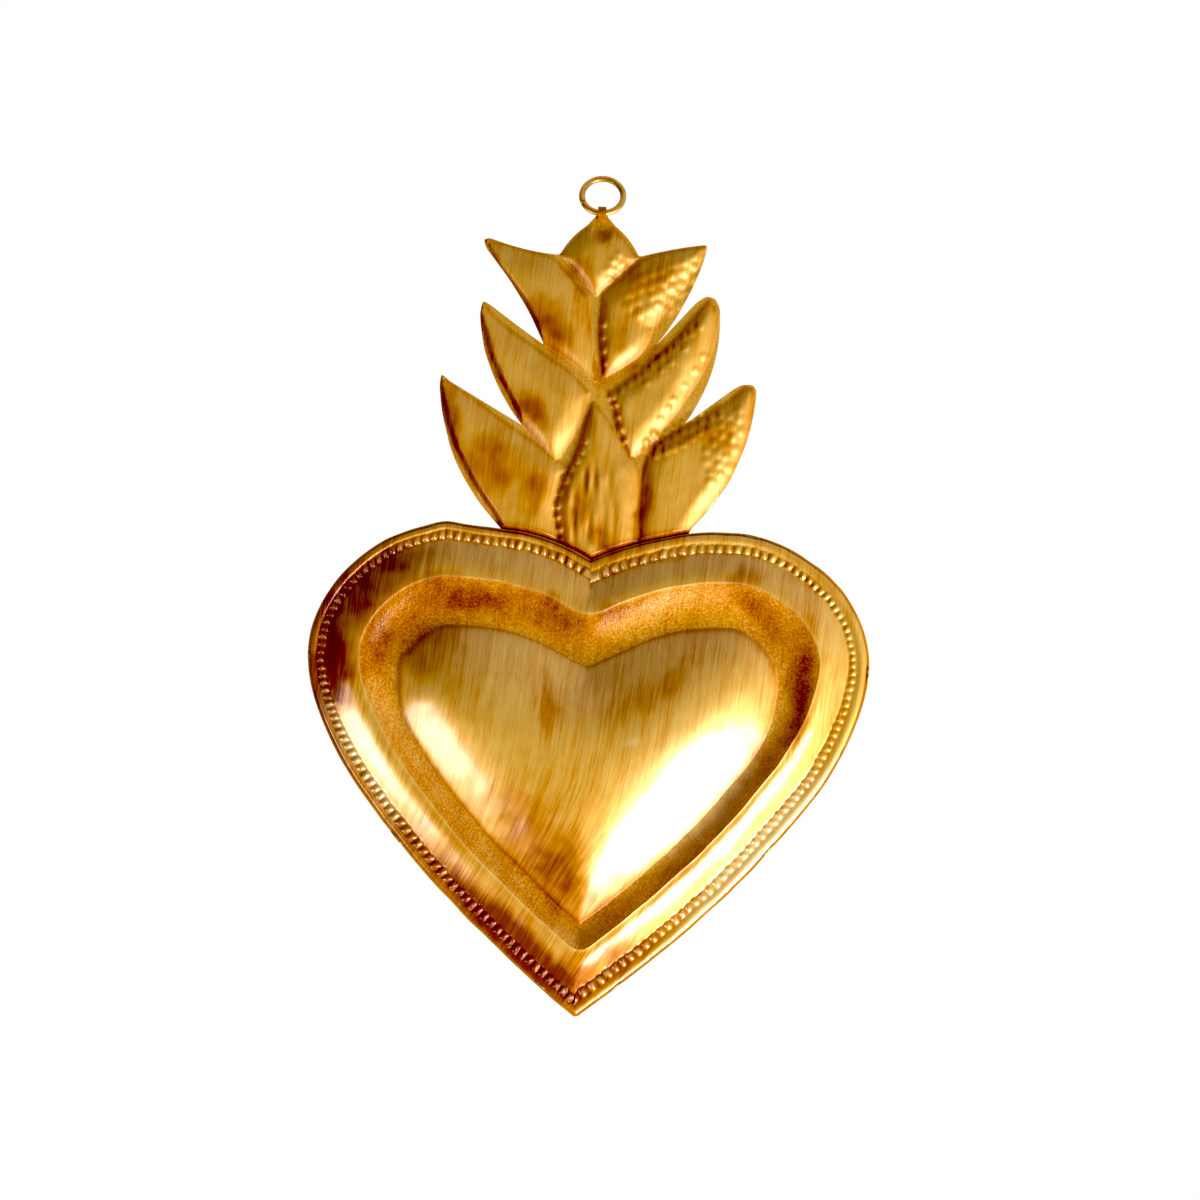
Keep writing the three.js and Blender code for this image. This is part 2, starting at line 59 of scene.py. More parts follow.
HEART_LOW, HEART_HIGH = (np.array(corner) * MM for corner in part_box("heart_front"))
HINGE = np.array(frame["joints"][0]["pos_m"]) * MM
AXIS_X = (HEART_LOW[0] + HEART_HIGH[0]) / 2
TIP_Z = HEART_LOW[2]
HEART_FACE_Y = HEART_HIGH[1] - SHEET
BACK_REAR_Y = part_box("heart_back")[1][1] * MM

# Heart outline: half of it, from the notch over the lobe and down to the tip
HALF_WIDTH = 54.4
WIDEST_Z = 69.3
LOBE_X = 28.0
LOBE_Z = 94.4
NOTCH_Z = 88.2
NOTCH_SLOPE = math.radians(27)
TIP_SLOPE = math.radians(37.5)
NOTCH_REACH = 9.0
LOBE_REACH_IN = 13.0
LOBE_REACH_OUT = 12.0
SIDE_REACH_UP = 13.5
SIDE_REACH_DOWN = 19.0
TIP_REACH = 38.0
LEDGE = 0.55

# Heart relief. Where there are two values, they are for the left half and the right half
BEAD_INSET = (2.0, 2.7)
BEAD_FOOT = 0.9
BEAD_HALF_LONG = 0.95
BEAD_RISE = 0.52
BEAD_FLANK = (0.12, 0.42)
BEAD_END_BEND = 0.7
BEAD_GAP_REACH = 1.1
MOST_BEADS = 400
RIM_ROUND = 0.28
CREST_INSET = (9.4, 9.2)
CREST_RISE = 3.8
CREST_SOFT = 0.9
CREST_DROP = 0.315
BORDER_SPAN = 5.6
BORDER_SWELL = 0.45
GROOVE_SPAN = 8.0
GROOVE_FLOOR = 1.3
GROOVE_BEND = 2.1
TIP_ROUND = 3.5
NOTCH_ROUND = 4.0
DOME_RISE = 8.6
DOME_SHOULDER = 18.0
DOME_BEND = 1.7
DOME_FILLET = 0.05
LEAST_GAP = 0.05
DOME_CENTRE = np.array([0.0, 50.0])

# Groove width along each half: share of the way from notch to tip, then width
GROOVE_WIDTH_LEFT = ((0.0, 8.8), (0.2, 9.6), (0.39, 9.6), (0.47, 7.6), (0.56, 4.3), (1.0, 4.2))
GROOVE_WIDTH_RIGHT = ((0.0, 8.8), (0.3, 9.0), (0.44, 8.6), (0.5, 6.8), (0.58, 4.5), (1.0, 4.4))
WIDTH_SMOOTHING = 60

# Bead pitch and size along each half, in the same form
BEAD_PITCH_LEFT = ((0.0, 1.9), (0.3, 1.75), (0.4, 1.6), (0.6, 1.75), (1.0, 1.87))
BEAD_PITCH_RIGHT = ((0.0, 2.1), (0.25, 1.9), (0.4, 1.6), (0.6, 1.8), (1.0, 2.0))
BEAD_SIZE_LEFT = ((0.0, 0.9), (0.3, 0.8), (0.6, 0.9), (1.0, 1.0))
BEAD_SIZE_RIGHT = ((0.0, 1.0), (0.3, 0.8), (0.42, 0.55), (0.58, 0.75), (1.0, 1.0))

# Jitter of one bead: drift across the row, stretch, lean and lift; then the pitch's own unevenness
BEAD_JITTER = (0.12, 0.15, 0.12, 0.2)
PITCH_UNEVEN = 0.1
PITCH_WAVE = 4

# Rows of the heart's mesh: zone and share of the way across it
HEART_ROWS = {
    "rim": (0.0, 0.06, 0.14, 0.22, 0.3, 0.38, 0.46, 0.54, 0.62, 0.7, 0.78, 0.86, 0.93, 1.0),
    "border": (0.06, 0.14, 0.24, 0.36, 0.48, 0.6, 0.72, 0.82, 0.89, 0.94, 0.975, 1.0),
    "groove": (0.02, 0.05, 0.1, 0.16, 0.24, 0.32, 0.42, 0.52, 0.62, 0.72, 0.82, 0.91, 1.0),
}

# Rows of the middle pillow and of the back sheet: scale about the middle, and those with half the points
DOME_ROWS = (
    0.985, 0.965, 0.94, 0.915, 0.885, 0.85, 0.815, 0.78, 0.74, 0.7, 0.66, 0.62, 0.58, 0.54,
    0.5, 0.46, 0.42, 0.38, 0.34, 0.3, 0.26, 0.22, 0.18, 0.14, 0.1, 0.06, 0.03,
)
DOME_HALVED = (0.54, 0.3, 0.14, 0.06)
BACK_ROWS = (1.0, 0.97, 0.9, 0.75, 0.6, 0.45, 0.3, 0.15)
BACK_HALVED = (0.9, 0.6, 0.3, 0.15)

# Crown cut edge, counter-clockwise from the right end of its base: x, height, bow of the cut that follows
TAB_HALF_WIDTH = 13.0
TAB_DEPTH = 9.0
CUT_EDGE = (
    (19.1, 7.2, 3.0), (31.0, 35.1, 0), (30.3, 36.1, 0), (28.1, 36.0, 0), (26.4, 35.1, 0),
    (17.2, 28.0, 2.0), (23.5, 50.6, 0), (22.6, 52.5, 0), (20.7, 52.9, 0), (18.6, 51.4, 0),
    (10.9, 43.1, 1.2), (20.3, 61.8, 0), (20.4, 63.1, 0), (18.4, 62.8, 0.2),
    (7.1, 60.2, 0.5), (2.4, 66.0, 0), (0.8, 67.8, 0), (0.4, 68.5, 0), (0.4, 74.6, 0),
    (-1.2, 74.3, 0), (-1.2, 68.5, 0), (-1.7, 67.8, 0), (-3.3, 66.0, 0.5),
    (-8.4, 60.1, -0.5), (-22.2, 63.0, 0), (-23.4, 62.7, 0), (-22.8, 60.9, -0.8),
    (-10.8, 42.3, 0), (-21.6, 49.9, 0), (-23.3, 50.9, 0), (-23.8, 48.4, 2.0),
    (-14.4, 26.5, 0), (-29.2, 34.7, 0), (-30.9, 36.1, 0), (-31.2, 33.9, 2.8),
    (-17.9, 6.1, 0), (-TAB_HALF_WIDTH, -TAB_DEPTH, 0), (TAB_HALF_WIDTH, -TAB_DEPTH, 0),
)
EDGE_ROUND = 0.45
NECK_HEIGHT = 64.0

# Tongue folded over the ring's wire
HINGE_HEIGHT = 68.5
FOLD_RADIUS = 1.1
FOLD_STEPS = 24
FOLD_PROBE = 0.02
FOLD_RUN = 3.0
PRESSED = 0.7
PINCH = 1.7
TONGUE_X = -0.4
TONGUE_REACH = 3.0
TONGUE_FADES = (0.9, 3.0)
LAP_FADES = (0.1, 0.8)

# Embossed leaves: rise, then each side as its shoulder width and its points up to the next side
LEAF_SPREAD = 0.5
LEAF_BLEND = 4.0
LEAF_MOST = 3.0
LEAF_ROUND = 0.65
LEAF_SMOOTH = 0.35
LEAF_TOP = 0.1
LEAF_TOP_FROM = 0.5
LEAVES = {
    "upper_left": (1.8, (
        (1.5, ((-22.6, 62.3), (-19.4, 56.9), (-14.8, 50.6), (-11.6, 44.1))),
        (3.0, ((-10.5, 42.6), (-7.1, 40.6), (-4.0, 38.4))),
        (4.2, ((-0.7, 35.8), (-1.7, 44.2))),
        (4.0, ((-2.8, 51.9), (-6.0, 55.7))),
        (5.4, ((-9.7, 59.4), (-17.0, 61.2))),
    )),
    "upper_right": (1.7, (
        (4.2, ((20.0, 62.5), (17.6, 57.6), (12.8, 50.4))),
        (3.0, ((9.9, 46.4), (8.9, 43.6), (7.2, 41.2), (4.8, 39.4))),
        (3.0, ((1.0, 36.9), (0.1, 44.3))),
        (3.6, ((0.4, 52.4), (5.7, 57.4))),
        (4.0, ((7.8, 59.5), (11.0, 60.8), (14.7, 61.8))),
    )),
    "bud": (1.6, (
        (3.2, ((-1.0, 52.5), (3.2, 56.9))),
        (4.0, ((6.7, 60.1), (3.6, 63.8))),
        (4.0, ((-0.4, 67.2), (-4.4, 64.2))),
        (2.4, ((-7.9, 60.1), (-5.5, 57.5))),
    )),
    "middle_left": (1.9, (
        (1.5, ((-23.2, 50.0), (-23.2, 47.3), (-20.6, 38.9), (-15.8, 29.8))),
        (2.8, ((-14.2, 26.9), (-10.3, 22.0))),
        (4.4, ((-8.0, 19.6), (-4.0, 26.7))),
        (5.4, ((-2.0, 33.3), (-5.9, 37.1), (-13.0, 41.9), (-19.7, 46.6))),
    )),
    "middle_right": (1.8, (
        (4.4, ((21.4, 51.8), (22.8, 48.8), (21.2, 41.0), (17.2, 33.6), (11.4, 25.0))),
        (2.6, ((7.1, 20.9), (4.7, 25.6), (3.2, 31.5))),
        (4.0, ((2.4, 33.4), (7.5, 37.6), (13.3, 42.8), (18.6, 48.7))),
    )),
    "lower_left": (1.8, (
        (1.5, ((-30.6, 35.2), (-30.2, 31.1), (-28.2, 24.2), (-23.4, 15.1), (-17.8, 6.4))),
        (2.0, ((-16.0, -2.0),)),
        (3.8, ((-5.0, -5.0), (-6.4, 3.5), (-7.5, 9.5), (-6.9, 15.7))),
        (5.4, ((-6.0, 18.2), (-10.3, 21.8), (-17.2, 26.5), (-25.6, 32.0))),
    )),
    "lower_right": (1.8, (
        (3.6, ((29.0, 35.4), (30.4, 34.0), (29.6, 25.7), (25.7, 16.6), (21.4, 10.5), (17.6, 3.0))),
        (2.0, ((17.0, -3.0),)),
        (4.0, ((8.6, -5.0), (9.6, 3.9), (9.2, 8.8), (9.3, 16.3))),
        (4.0, ((10.4, 21.5), (14.2, 25.4), (20.3, 29.1), (25.2, 32.2))),
    )),
    "centre": (1.9, (
        (4.2, ((-0.8, 31.2), (2.6, 27.2), (6.1, 22.0), (7.9, 20.0), (8.8, 16.2), (8.8, 6.5))),
        (2.0, ((8.0, -4.0),)),
        (3.0, ((-5.6, -4.0), (-6.2, 4.3), (-7.3, 10.0), (-6.1, 15.7), (-3.9, 21.5), (-2.3, 27.6))),
    )),
}

# Punch marks: radius, rise and places
PUNCHED = (
    (1.2, 0.24, ((3.4, 60.8), (2.1, 59.3), (4.1, 58.3), (1.4, 57.5), (2.8, 57.2), (1.5, 55.7))),
    (0.95, 0.38, ((0.6, 46.8), (0.6, 44.3), (0.7, 41.8), (1.0, 39.4))),
    (1.0, 0.42, ((2.6, 32.8), (3.2, 31.2), (3.9, 28.8), (4.6, 26.4), (5.4, 24.2))),
    (1.0, 0.2, ((20.6, 41.4), (19.0, 38.6), (16.9, 35.6), (14.8, 32.9))),
    (1.0, 0.2, ((13.8, 31.1), (12.5, 28.8), (11.2, 26.2))),
    (1.0, 0.42, ((-2.4, 23.6), (-3.1, 21.6), (-3.9, 19.8), (-4.9, 18.0), (-5.9, 15.7), (-6.8, 13.2))),
    (1.0, 0.42, ((-7.1, 10.7), (-6.9, 8.5), (-6.4, 6.2), (-6.2, 4.2), (-5.9, 2.4))),
)

# Areas beaten all over with a round punch: middle, half sizes, turn in degrees, pitch, radius, rise
BEATEN = (
    ((11.8, 55.6), (9.0, 6.4), 25.0, 2.3, 1.45, 0.26),
    ((25.4, 24.0), (3.2, 9.0), -18.0, 2.2, 1.35, 0.24),
    ((12.0, 40.6), (10.5, 1.9), 42.0, 2.0, 1.15, 0.3),
    ((17.0, 26.4), (8.5, 3.2), 30.0, 2.0, 1.2, 0.34),
)
MARK_ROW_SHARE = 0.87
MARK_DRIFT = 0.3
BEATEN_SIZES = (0.8, 1.15)
PUNCHED_SIZES = (0.85, 1.15)

# Ribs up the foot of the tall middle leaf
RIBS_X = -0.5
RIBS_HALF = 4.5
RIBS_RISE = 0.45
RIBS_FROM = (1, 4)
RIBS_TO = (15, 22)
RIBS_SLANT = 0.05
RIBS_LONG = 5.0

# Unevenness of hand work, as layers of soft noise: reach, size and seed
WARP_X = ((0.30, 15, 1), (0.10, 4, 2))
WARP_Z = ((0.30, 15, 3), (0.10, 4, 4))
HEART_DENTS = ((0.10, 9, 51), (0.05, 3, 52))
CROWN_DENTS = ((0.09, 5, 53), (0.04, 2, 54))
BACK_SAG = 0.12
BACK_WAVES = ((BACK_SAG, 12, 61),)
PATCH_DRIFT_X = ((1.0, 5, 21), (0.5, 1.5, 22))
PATCH_DRIFT_Z = ((1.4, 6, 23), (0.6, 1.8, 24))
PATCH_WIPED = ((0.3, 1.8, 25),)

# Heights at which the warp fades below the tongue, and the strip at the heart's sides in which it fades
WARP_FADES = (NOTCH_Z + 54, NOTCH_Z + 62)
WARP_SIDE = 7

# Small upturned place on the left lobe's edge
CORNER_X = -28.5
CORNER_RISE = 0.45
CORNER_REACH = 3.0
CORNER_FROM = (86, 93)
CORNER_TO = (97, 104)

# Relief heights over which dents grow, on the heart and on the crown
HEART_DENTED = (0.3, 1.5)
CROWN_DENTED = (0.2, 1.2)

# Brown glaze and painted shade: middle (x, z above the tip), half sizes, turn in degrees, depth. Some
# patches are painted shade where the surface faces away from the lights: the pillow's lower left, the
# right and lower-right groove and the upper-left border; the negative ones lighten the pillow's middle
GLAZE_ALL_OVER = 0.245
GLAZE_AND_SHADE_ON_HEART = (
    (-51, 66, 3.9, 12.3, 0, 0.7), (-48, 65, 3.4, 6.5, 5, 0.4), (-42, 70, 3.0, 6.0, 10, 0.35),
    (-45, 82, 9.8, 4.9, 40, 0.66), (-48, 47, 2.6, 9.8, 25, 0.3),
    (-35, 88, 7.8, 2.3, 5, 0.3), (-23, 81, 13.0, 3.4, -8, 0.45), (-36, 76, 8.5, 5.9, 25, 0.25),
    (-5, 77, 7.2, 3.2, -28, 0.4), (5, 79, 6.5, 1.8, 22, 0.25), (-30, 70, 7.2, 5.2, 20, 0.25),
    (-7, 60, 2.9, 5.9, 0, 0.3), (9, 62, 7.8, 3.9, 30, 0.2), (18, 67, 2.6, 5.9, -35, 0.2),
    (-6, 31, 7.0, 16.0, 41, 0.38), (-4, 27, 4.6, 8.5, 20, 0.22), (-11, 13, 3.9, 16.9, 45, 0.55),
    (-1, 7, 6.0, 5.0, 20, 0.3), (7, 11, 4.0, 9.0, -52, 0.35), (42, 66, 2.4, 14.0, -3, 0.45),
    (33, 79, 8.5, 3.2, -38, 0.35),
    (28, 41, 2.8, 24.0, -37, 0.45), (30, 87, 3.6, 2.0, 0, 0.3), (-25, 35, 2.0, 16.9, 38, 0.1),
    (-15, 56, 7.2, 11.7, 0, -0.14), (24, 54, 8.5, 13.0, -20, -0.12), (18, 82, 14.0, 4.0, -10, 0.07),
)
# On the crown: brown glaze, with painted shade among it along the leaves' left edges
GLAZE_AND_SHADE_ON_CROWN = (
    (-10, 134, 2.9, 5.9, 30, 0.45), (-4, 139, 1.5, 5.9, 10, 0.22), (-6, 132, 2.9, 2.9, 0, 0.22),
    (-13, 118, 2.2, 5.4, 25, 0.49), (-19, 125, 1.0, 7.8, 25, 0.26), (-20, 107, 5.4, 6.3, 25, 0.4),
    (-28, 116, 1.5, 5.9, 15, 0.42), (-12, 101, 2.9, 5.9, 0, 0.34), (2, 93, 3.4, 2.4, 0, 0.38),
    (-3, 98, 2.0, 4.4, -5, 0.22), (10, 99, 1.7, 5.4, -8, 0.45), (9, 145, 5.4, 2.9, 20, 0.22),
    (5, 136, 2.9, 4.4, -15, 0.15), (3, 131, 2.0, 2.4, 0, 0.22), (9, 128, 7.3, 1.7, 33, 0.26),
    (16, 113, 8.3, 2.9, 25, 0.22), (24, 113, 3.4, 2.9, 0, 0.19), (-5, 146, 2.2, 2.2, -35, 0.3),
    (-2, 143, 1.2, 2.4, 35, 0.26), (1, 153, 2.9, 2.0, -30, 0.19), (0, 124, 1.5, 3.9, 0, 0.26),
    (0, 161, 2.0, 3.4, 0, 0.45), (1, 101, 6.0, 10.0, 0, 0.1), (11, 143, 8.0, 7.0, 25, 0.08),
)
PATCH_FALL = 1.1
PATCH_BEND = 1.3

# Paler places in the same form: painted highlights on the pillow's right and left flanks and on the lower
# borders, where the lights strike, and one small spot rubbed thin on the pillow
HIGHLIGHTS_AND_RUBBED_SPOT = (
    (21, 46, 8.0, 17.0, -41, 0.9), (35, 34, 3.5, 20.0, -41, 0.8), (-32, 58, 4.0, 9.0, 20, 0.15),
    (-43, 48, 3.0, 13.0, 35, 0.7), (9.2, 54, 1.3, 1.0, 40, 0.6),
)

# Glaze, wear and grain that follow the heart's relief, and painted shade along the pillow's foot
BEAD_GAP_GLAZE = 0.22
BEAD_WEAR = 0.7
BEAD_WORN = (0.35, 0.65)
LEFT_RIM_GLAZE = 0.14
LEFT_RIM = (-25, -5)
STAIN_LEFT = (0, 8)
RIM_STAIN = 0.28
BORDER_STAIN = 0.62
STAIN_ENDS = {"rim": (34, 54), "border": (22, 40)}
BORDER_STAIN_BEND = 1.5
CREST_RUBBED = 0.05
CREST_WEAR = 0.15
CREST_BAND_OUT = 0.07
CREST_BAND_IN = 0.03
GROOVE_GLAZE = 0.18
GROOVE_GRAIN_FROM = 0.04
FOOT_BAND = (0.95, 1.0)
# Brown glaze and a painted shade line in the corner at the pillow's foot
FOOT_GLAZE_AND_SHADE = 0.4
FOOT_GRAIN = 0.6
BACK_SUNK = (1, 8)
BACK_GLAZE_SHARE = 0.5
BACK_GLAZE = 0.25

# Glaze, wear and grain that follow the crown's relief, with painted shade along the heart's edge and on
# the leaves' left flanks
CREASE_GLAZE = 0.18
CREASE_BAND = 0.4
# Painted shade on the crown along the heart's edge, where it passes behind the heart
LAP_SHADE = 0.75
LAP_BEHIND = (-1.5, 0)
# Painted shade on leaf flanks that face left, away from the key light, but not beside the bud
LEFT_FLANK_SHADE = 0.35
FLANK_TURN = (0.3, 0.6)
BUD_FROM_HEIGHT = (50, 54)
BUD_FROM_X = (-10, -7)
LEAF_WEAR = 0.25
LEAF_WORN = (1.9, 2.8)
FLAT_GRAIN = 0.7
FLAT_RISE = 0.2

# Lean of the brush strokes from upright, how much more they lean low on the heart, and where that fades
STROKE_LEAN = math.radians(6)
STROKE_LEAN_LOW = math.radians(22)
STROKE_TURN = (28, 58)
STROKE_HEIGHTS = np.linspace(-20, 180, 401)

# Ring
RING_RADIUS = 4.03
RING_WIRE = 1.19
RING_LEAN = math.radians(30)
RING_STEPS = 160
WIRE_STEPS = 20
SEAM_AT = math.radians(205)
SEAM_DEPTH = 0.3
SEAM_WIDTH = 0.03
RING_OVAL = 0.05
OVAL_TURN = 0.6

# Solder beads
SOLDER_ROUNDS = 12
SOLDER_POINTS = 20
SOLDER_SQUARE = 0.75
SOLDER_FILL = (1.0, 0.85, 0.85)
LUMP_BROAD = 0.10
LUMP_FINE = 0.07

# Seeds of the random draws, and the lattice of the soft noise
PITCH_SEED = 31
BEAD_SEED = 41
RIBS_SEED = 55
BEATEN_SEED = 71
PUNCHED_SEED = 81
SOLDER_SEED = 91
LATTICE = 64
NOISE_SHIFT = (31.37, 17.71)

# Mesh fineness, and how many places are worked on at once
CURVE_STEPS = 200
SPLINE_STEPS = 12
OUTLINE_STEPS = 1800
HALF_POINTS = 640
PITCH_STEPS = 2000
LAP_POINTS = 300
CROWN_STEP = 0.34
CROWN_ROW_SHARE = 0.866
EDGE_STEP = 0.3
EDGE_WINDOW = 6
CREASE_TO_EDGE = 0.15
CREASE_MERGE = 0.12
GRID_TO_EDGE = 0.6
GRID_TO_CREASE = 0.55
SHARP_ANGLE = math.radians(60)
BLOCK = 2000


def between(low, high, value):
    """0 below low, 1 above high and even in between."""
    return np.clip((value - low) / (high - low), 0, 1)


def smoothstep(low, high, value):
    share = between(low, high, value)
    return share * share * (3 - 2 * share)


def soft_noise(x, z, size, seed):
    """Smooth random values between -1 and 1 that change over about that size."""
    lattice = np.random.default_rng(seed).uniform(-1, 1, (LATTICE, LATTICE))
    u = np.asarray(x) / size + NOISE_SHIFT[0]
    v = np.asarray(z) / size + NOISE_SHIFT[1]
    i = np.floor(u).astype(int)
    j = np.floor(v).astype(int)
    a = (u - i) ** 2 * (3 - 2 * (u - i))
    b = (v - j) ** 2 * (3 - 2 * (v - j))
    i0, i1 = i % LATTICE, (i + 1) % LATTICE
    j0, j1 = j % LATTICE, (j + 1) % LATTICE
    low = lattice[i0, j0] * (1 - a) + lattice[i1, j0] * a
    high = lattice[i0, j1] * (1 - a) + lattice[i1, j1] * a
    return low * (1 - b) + high * b


def layers_at(layers, x, z):
    """Sum of layers of soft noise."""
    return sum(reach * soft_noise(x, z, size, seed) for reach, size, seed in layers)


def bezier(a, b, c, d, count):
    t = np.linspace(0, 1, count + 1)[:, None]
    a, b, c, d = (np.array(point, float) for point in (a, b, c, d))
    return a * (1 - t) ** 3 + 3 * b * t * (1 - t) ** 2 + 3 * c * t * t * (1 - t) + d * t ** 3


def arc(a, b, c, t):
    """Points on the curve from a to c that is pulled towards b."""
    return a * (1 - t) ** 2 + 2 * b * t * (1 - t) + c * t * t


def lengths_along(line):
    steps = np.linalg.norm(np.diff(line, axis=0), axis=1)
    return np.concatenate([[0.0], np.cumsum(steps)])


def on_line(line, length, places):
    """Coordinates at distances along a line."""
    return np.stack([np.interp(places, length, column) for column in line.T])


def resample(line, count):
    """The same line with count equal steps."""
    length = lengths_along(line)
    return on_line(line, length, np.linspace(0, length[-1], count + 1)).T


def spline(points):
    """A smooth curve through the points, in steps of about EDGE_STEP."""
    points = np.array(points, float)
    padded = np.vstack([2 * points[0] - points[1], points, 2 * points[-1] - points[-2]])
    pieces = []
    for k in range(len(points) - 1):
        p0, p1, p2, p3 = padded[k:k + 4]
        pieces.append(bezier(p1, p1 + (p2 - p0) / 6, p2 - (p3 - p1) / 6, p2, SPLINE_STEPS)[:-1])
    line = np.vstack(pieces + [points[-1:]])
    return resample(line, max(2, int(lengths_along(line)[-1] / EDGE_STEP)))


def distance_to_line(places, line):
    """Distance from each place to a chain of points, and how far along the chain the nearest point is."""
    start, step = line[:-1], np.diff(line, axis=0)
    square = np.maximum((step ** 2).sum(1), 1e-12)
    length = lengths_along(line)
    best = np.full(len(places), 1e9)
    where = np.zeros(len(places))
    for first in range(0, len(places), BLOCK):
        block = places[first:first + BLOCK]
        t = ((block[:, None] - start[None]) * step[None]).sum(2) / square[None]
        t = np.clip(t, 0, 1)
        gap = np.linalg.norm(block[:, None] - start[None] - step[None] * t[..., None], axis=2)
        nearest = gap.argmin(1)
        rows = np.arange(len(block))
        best[first:first + BLOCK] = gap[rows, nearest]
        where[first:first + BLOCK] = length[nearest] + t[rows, nearest] * np.sqrt(square[nearest])
    return best, where


def inside(places, loop):
    """True for each place that lies inside the closed chain of points."""
    x, z = places.T
    result = np.zeros(len(places), bool)
    for (ax, az), (bx, bz) in zip(loop, np.roll(loop, -1, axis=0)):
        if az == bz:
            continue
        crosses = (az > z) != (bz > z)
        result ^= crosses & (x < (bx - ax) * (z - az) / (bz - az) + ax)
    return result


def hand_warp(places):
    """Moves places in the sheet's plane a little, as hand cutting does, but not at the ring's tongue."""
    x, z = places.T
    fade = 1 - smoothstep(*WARP_FADES, z)
    dx = layers_at(WARP_X, x, z) * (1 - smoothstep(HALF_WIDTH - WARP_SIDE, HALF_WIDTH, np.abs(x)))
    corner = np.exp(-((x - CORNER_X) / CORNER_REACH) ** 2)
    corner = corner * smoothstep(*CORNER_FROM, z) * (1 - smoothstep(*CORNER_TO, z))
    dz = layers_at(WARP_Z, x, z) + CORNER_RISE * corner
    return np.stack([x + dx * fade, z + dz * fade], axis=1)


def patches_at(places, patches):
    """How much of the soft-edged patches lies on each place."""
    x, z = places.T
    x = x + layers_at(PATCH_DRIFT_X, x, z)
    z = z + layers_at(PATCH_DRIFT_Z, x, z)
    wiped = 1 + layers_at(PATCH_WIPED, x, z)
    total = np.zeros(len(places))
    for cx, cz, half_x, half_z, turn, depth in patches:
        c, s = math.cos(math.radians(turn)), math.sin(math.radians(turn))
        u = ((x - cx) * c + (z - cz) * s) / half_x
        v = ((z - cz) * c - (x - cx) * s) / half_z
        total += depth * wiped * np.exp(-PATCH_FALL * (u * u + v * v) ** PATCH_BEND)
    return total


def glaze_and_shade_at(places):
    """How much brown glaze and painted shade the patches put at each place, before recesses are added."""
    return GLAZE_ALL_OVER + patches_at(places, GLAZE_AND_SHADE_ON_HEART + GLAZE_AND_SHADE_ON_CROWN)


def brush_places(places):
    """Places measured across and along the brush strokes, which lean over lower down on the heart."""
    lean = STROKE_LEAN + STROKE_LEAN_LOW * (1 - smoothstep(*STROKE_TURN, STROKE_HEIGHTS))
    shift = np.cumsum(np.tan(lean)) * (STROKE_HEIGHTS[1] - STROKE_HEIGHTS[0])
    x, z = places.T
    return np.column_stack([x - np.interp(z, STROKE_HEIGHTS, shift), np.zeros(len(places)), z])


def make_piece(name, points, faces, body, nodes, attributes=None, strokes=None, crease=()):
    """Makes a piece from millimetre points, puts it on its body and hides the CAD nodes it stands for.

    Attributes have a value from 0 to 1 for each point, strokes its place on the brush strokes,
    and crease lists the points of a row whose edges stay sharp.
    """
    mesh = bpy.data.meshes.new(name)
    whole = [tuple(int(i) for i in face) for face in faces]
    mesh.from_pydata((np.asarray(points) / MM).tolist(), [], whole)
    mesh.polygons.foreach_set("use_smooth", np.ones(len(mesh.polygons), bool))
    mesh.set_sharp_from_angle(angle=SHARP_ANGLE)
    on_crease = set(int(i) for i in crease)
    for edge in mesh.edges:
        if on_crease.issuperset(edge.vertices):
            edge.use_edge_sharp = True
    for key, values in (attributes or {}).items():
        layer = mesh.attributes.new(key, "FLOAT", "POINT")
        layer.data.foreach_set("value", np.clip(values, 0, 1).astype(np.float32))
    if strokes is not None:
        layer = mesh.attributes.new("strokes", "FLOAT_VECTOR", "POINT")
        layer.data.foreach_set("vector", strokes.astype(np.float32).ravel())
    mesh.validate()
    mesh.update()
    piece = bpy.data.objects.new(name, mesh)
    bpy.context.scene.collection.objects.link(piece)
    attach(piece, body)
    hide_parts(*nodes)
    return piece


def facing(points, triangles):
    """Which way the sheet faces at each point."""
    corners = points[np.array(triangles)]
    across = np.cross(corners[:, 1] - corners[:, 0], corners[:, 2] - corners[:, 0])
    total = np.zeros((len(points), 3))
    for k in range(3):
        np.add.at(total, np.array(triangles)[:, k], across)
    return total / np.maximum(np.linalg.norm(total, axis=1), 1e-12)[:, None]


def stitch(outer, inner):
    """Triangles between two closed loops of point numbers, where the second may have fewer points."""
    ratio = len(outer) // len(inner)
    count = len(outer)
    faces = []
    for k in range(count):
        here, after = outer[k], outer[(k + 1) % count]
        near = inner[((k + ratio // 2) // ratio) % len(inner)]
        next_near = inner[((k + 1 + ratio // 2) // ratio) % len(inner)]
        faces.append((here, after, near))
        if next_near != near:
            faces.append((after, next_near, near))
    return faces


def row_numbers(rows):
    """Point numbers of each row when the rows' points follow each other."""
    ends = np.cumsum([len(row) for row in rows])
    return [np.arange(end - len(row), end) for row, end in zip(rows, ends)]


def both_sides(values):
    """Values for all points of a closed sheet: its front, its rear and the middle point of each."""
    return np.concatenate([values, values, values[-1:], values[-1:]])


def closed_sheet(front, rear, loops):
    """Points and faces of a sheet from its front and rear points, in rows from the edge to the middle."""
    total = len(front)
    edge, last = loops[0], loops[-1]
    points = np.vstack([front, rear, front[last].mean(0), rear[last].mean(0)])
    faces = []
    for outer, inner in zip(loops[:-1], loops[1:]):
        faces += stitch(outer, inner)
    faces += [(a, b, 2 * total) for a, b in zip(last, np.roll(last, -1))]
    rear_faces = []
    for face in faces:
        rear_faces.append(tuple(2 * total + 1 if i == 2 * total else i + total for i in reversed(face)))
    wall = [(b, a, a + total, b + total) for a, b in zip(edge, np.roll(edge, -1))]
    return points, faces + rear_faces + wall


# Heart


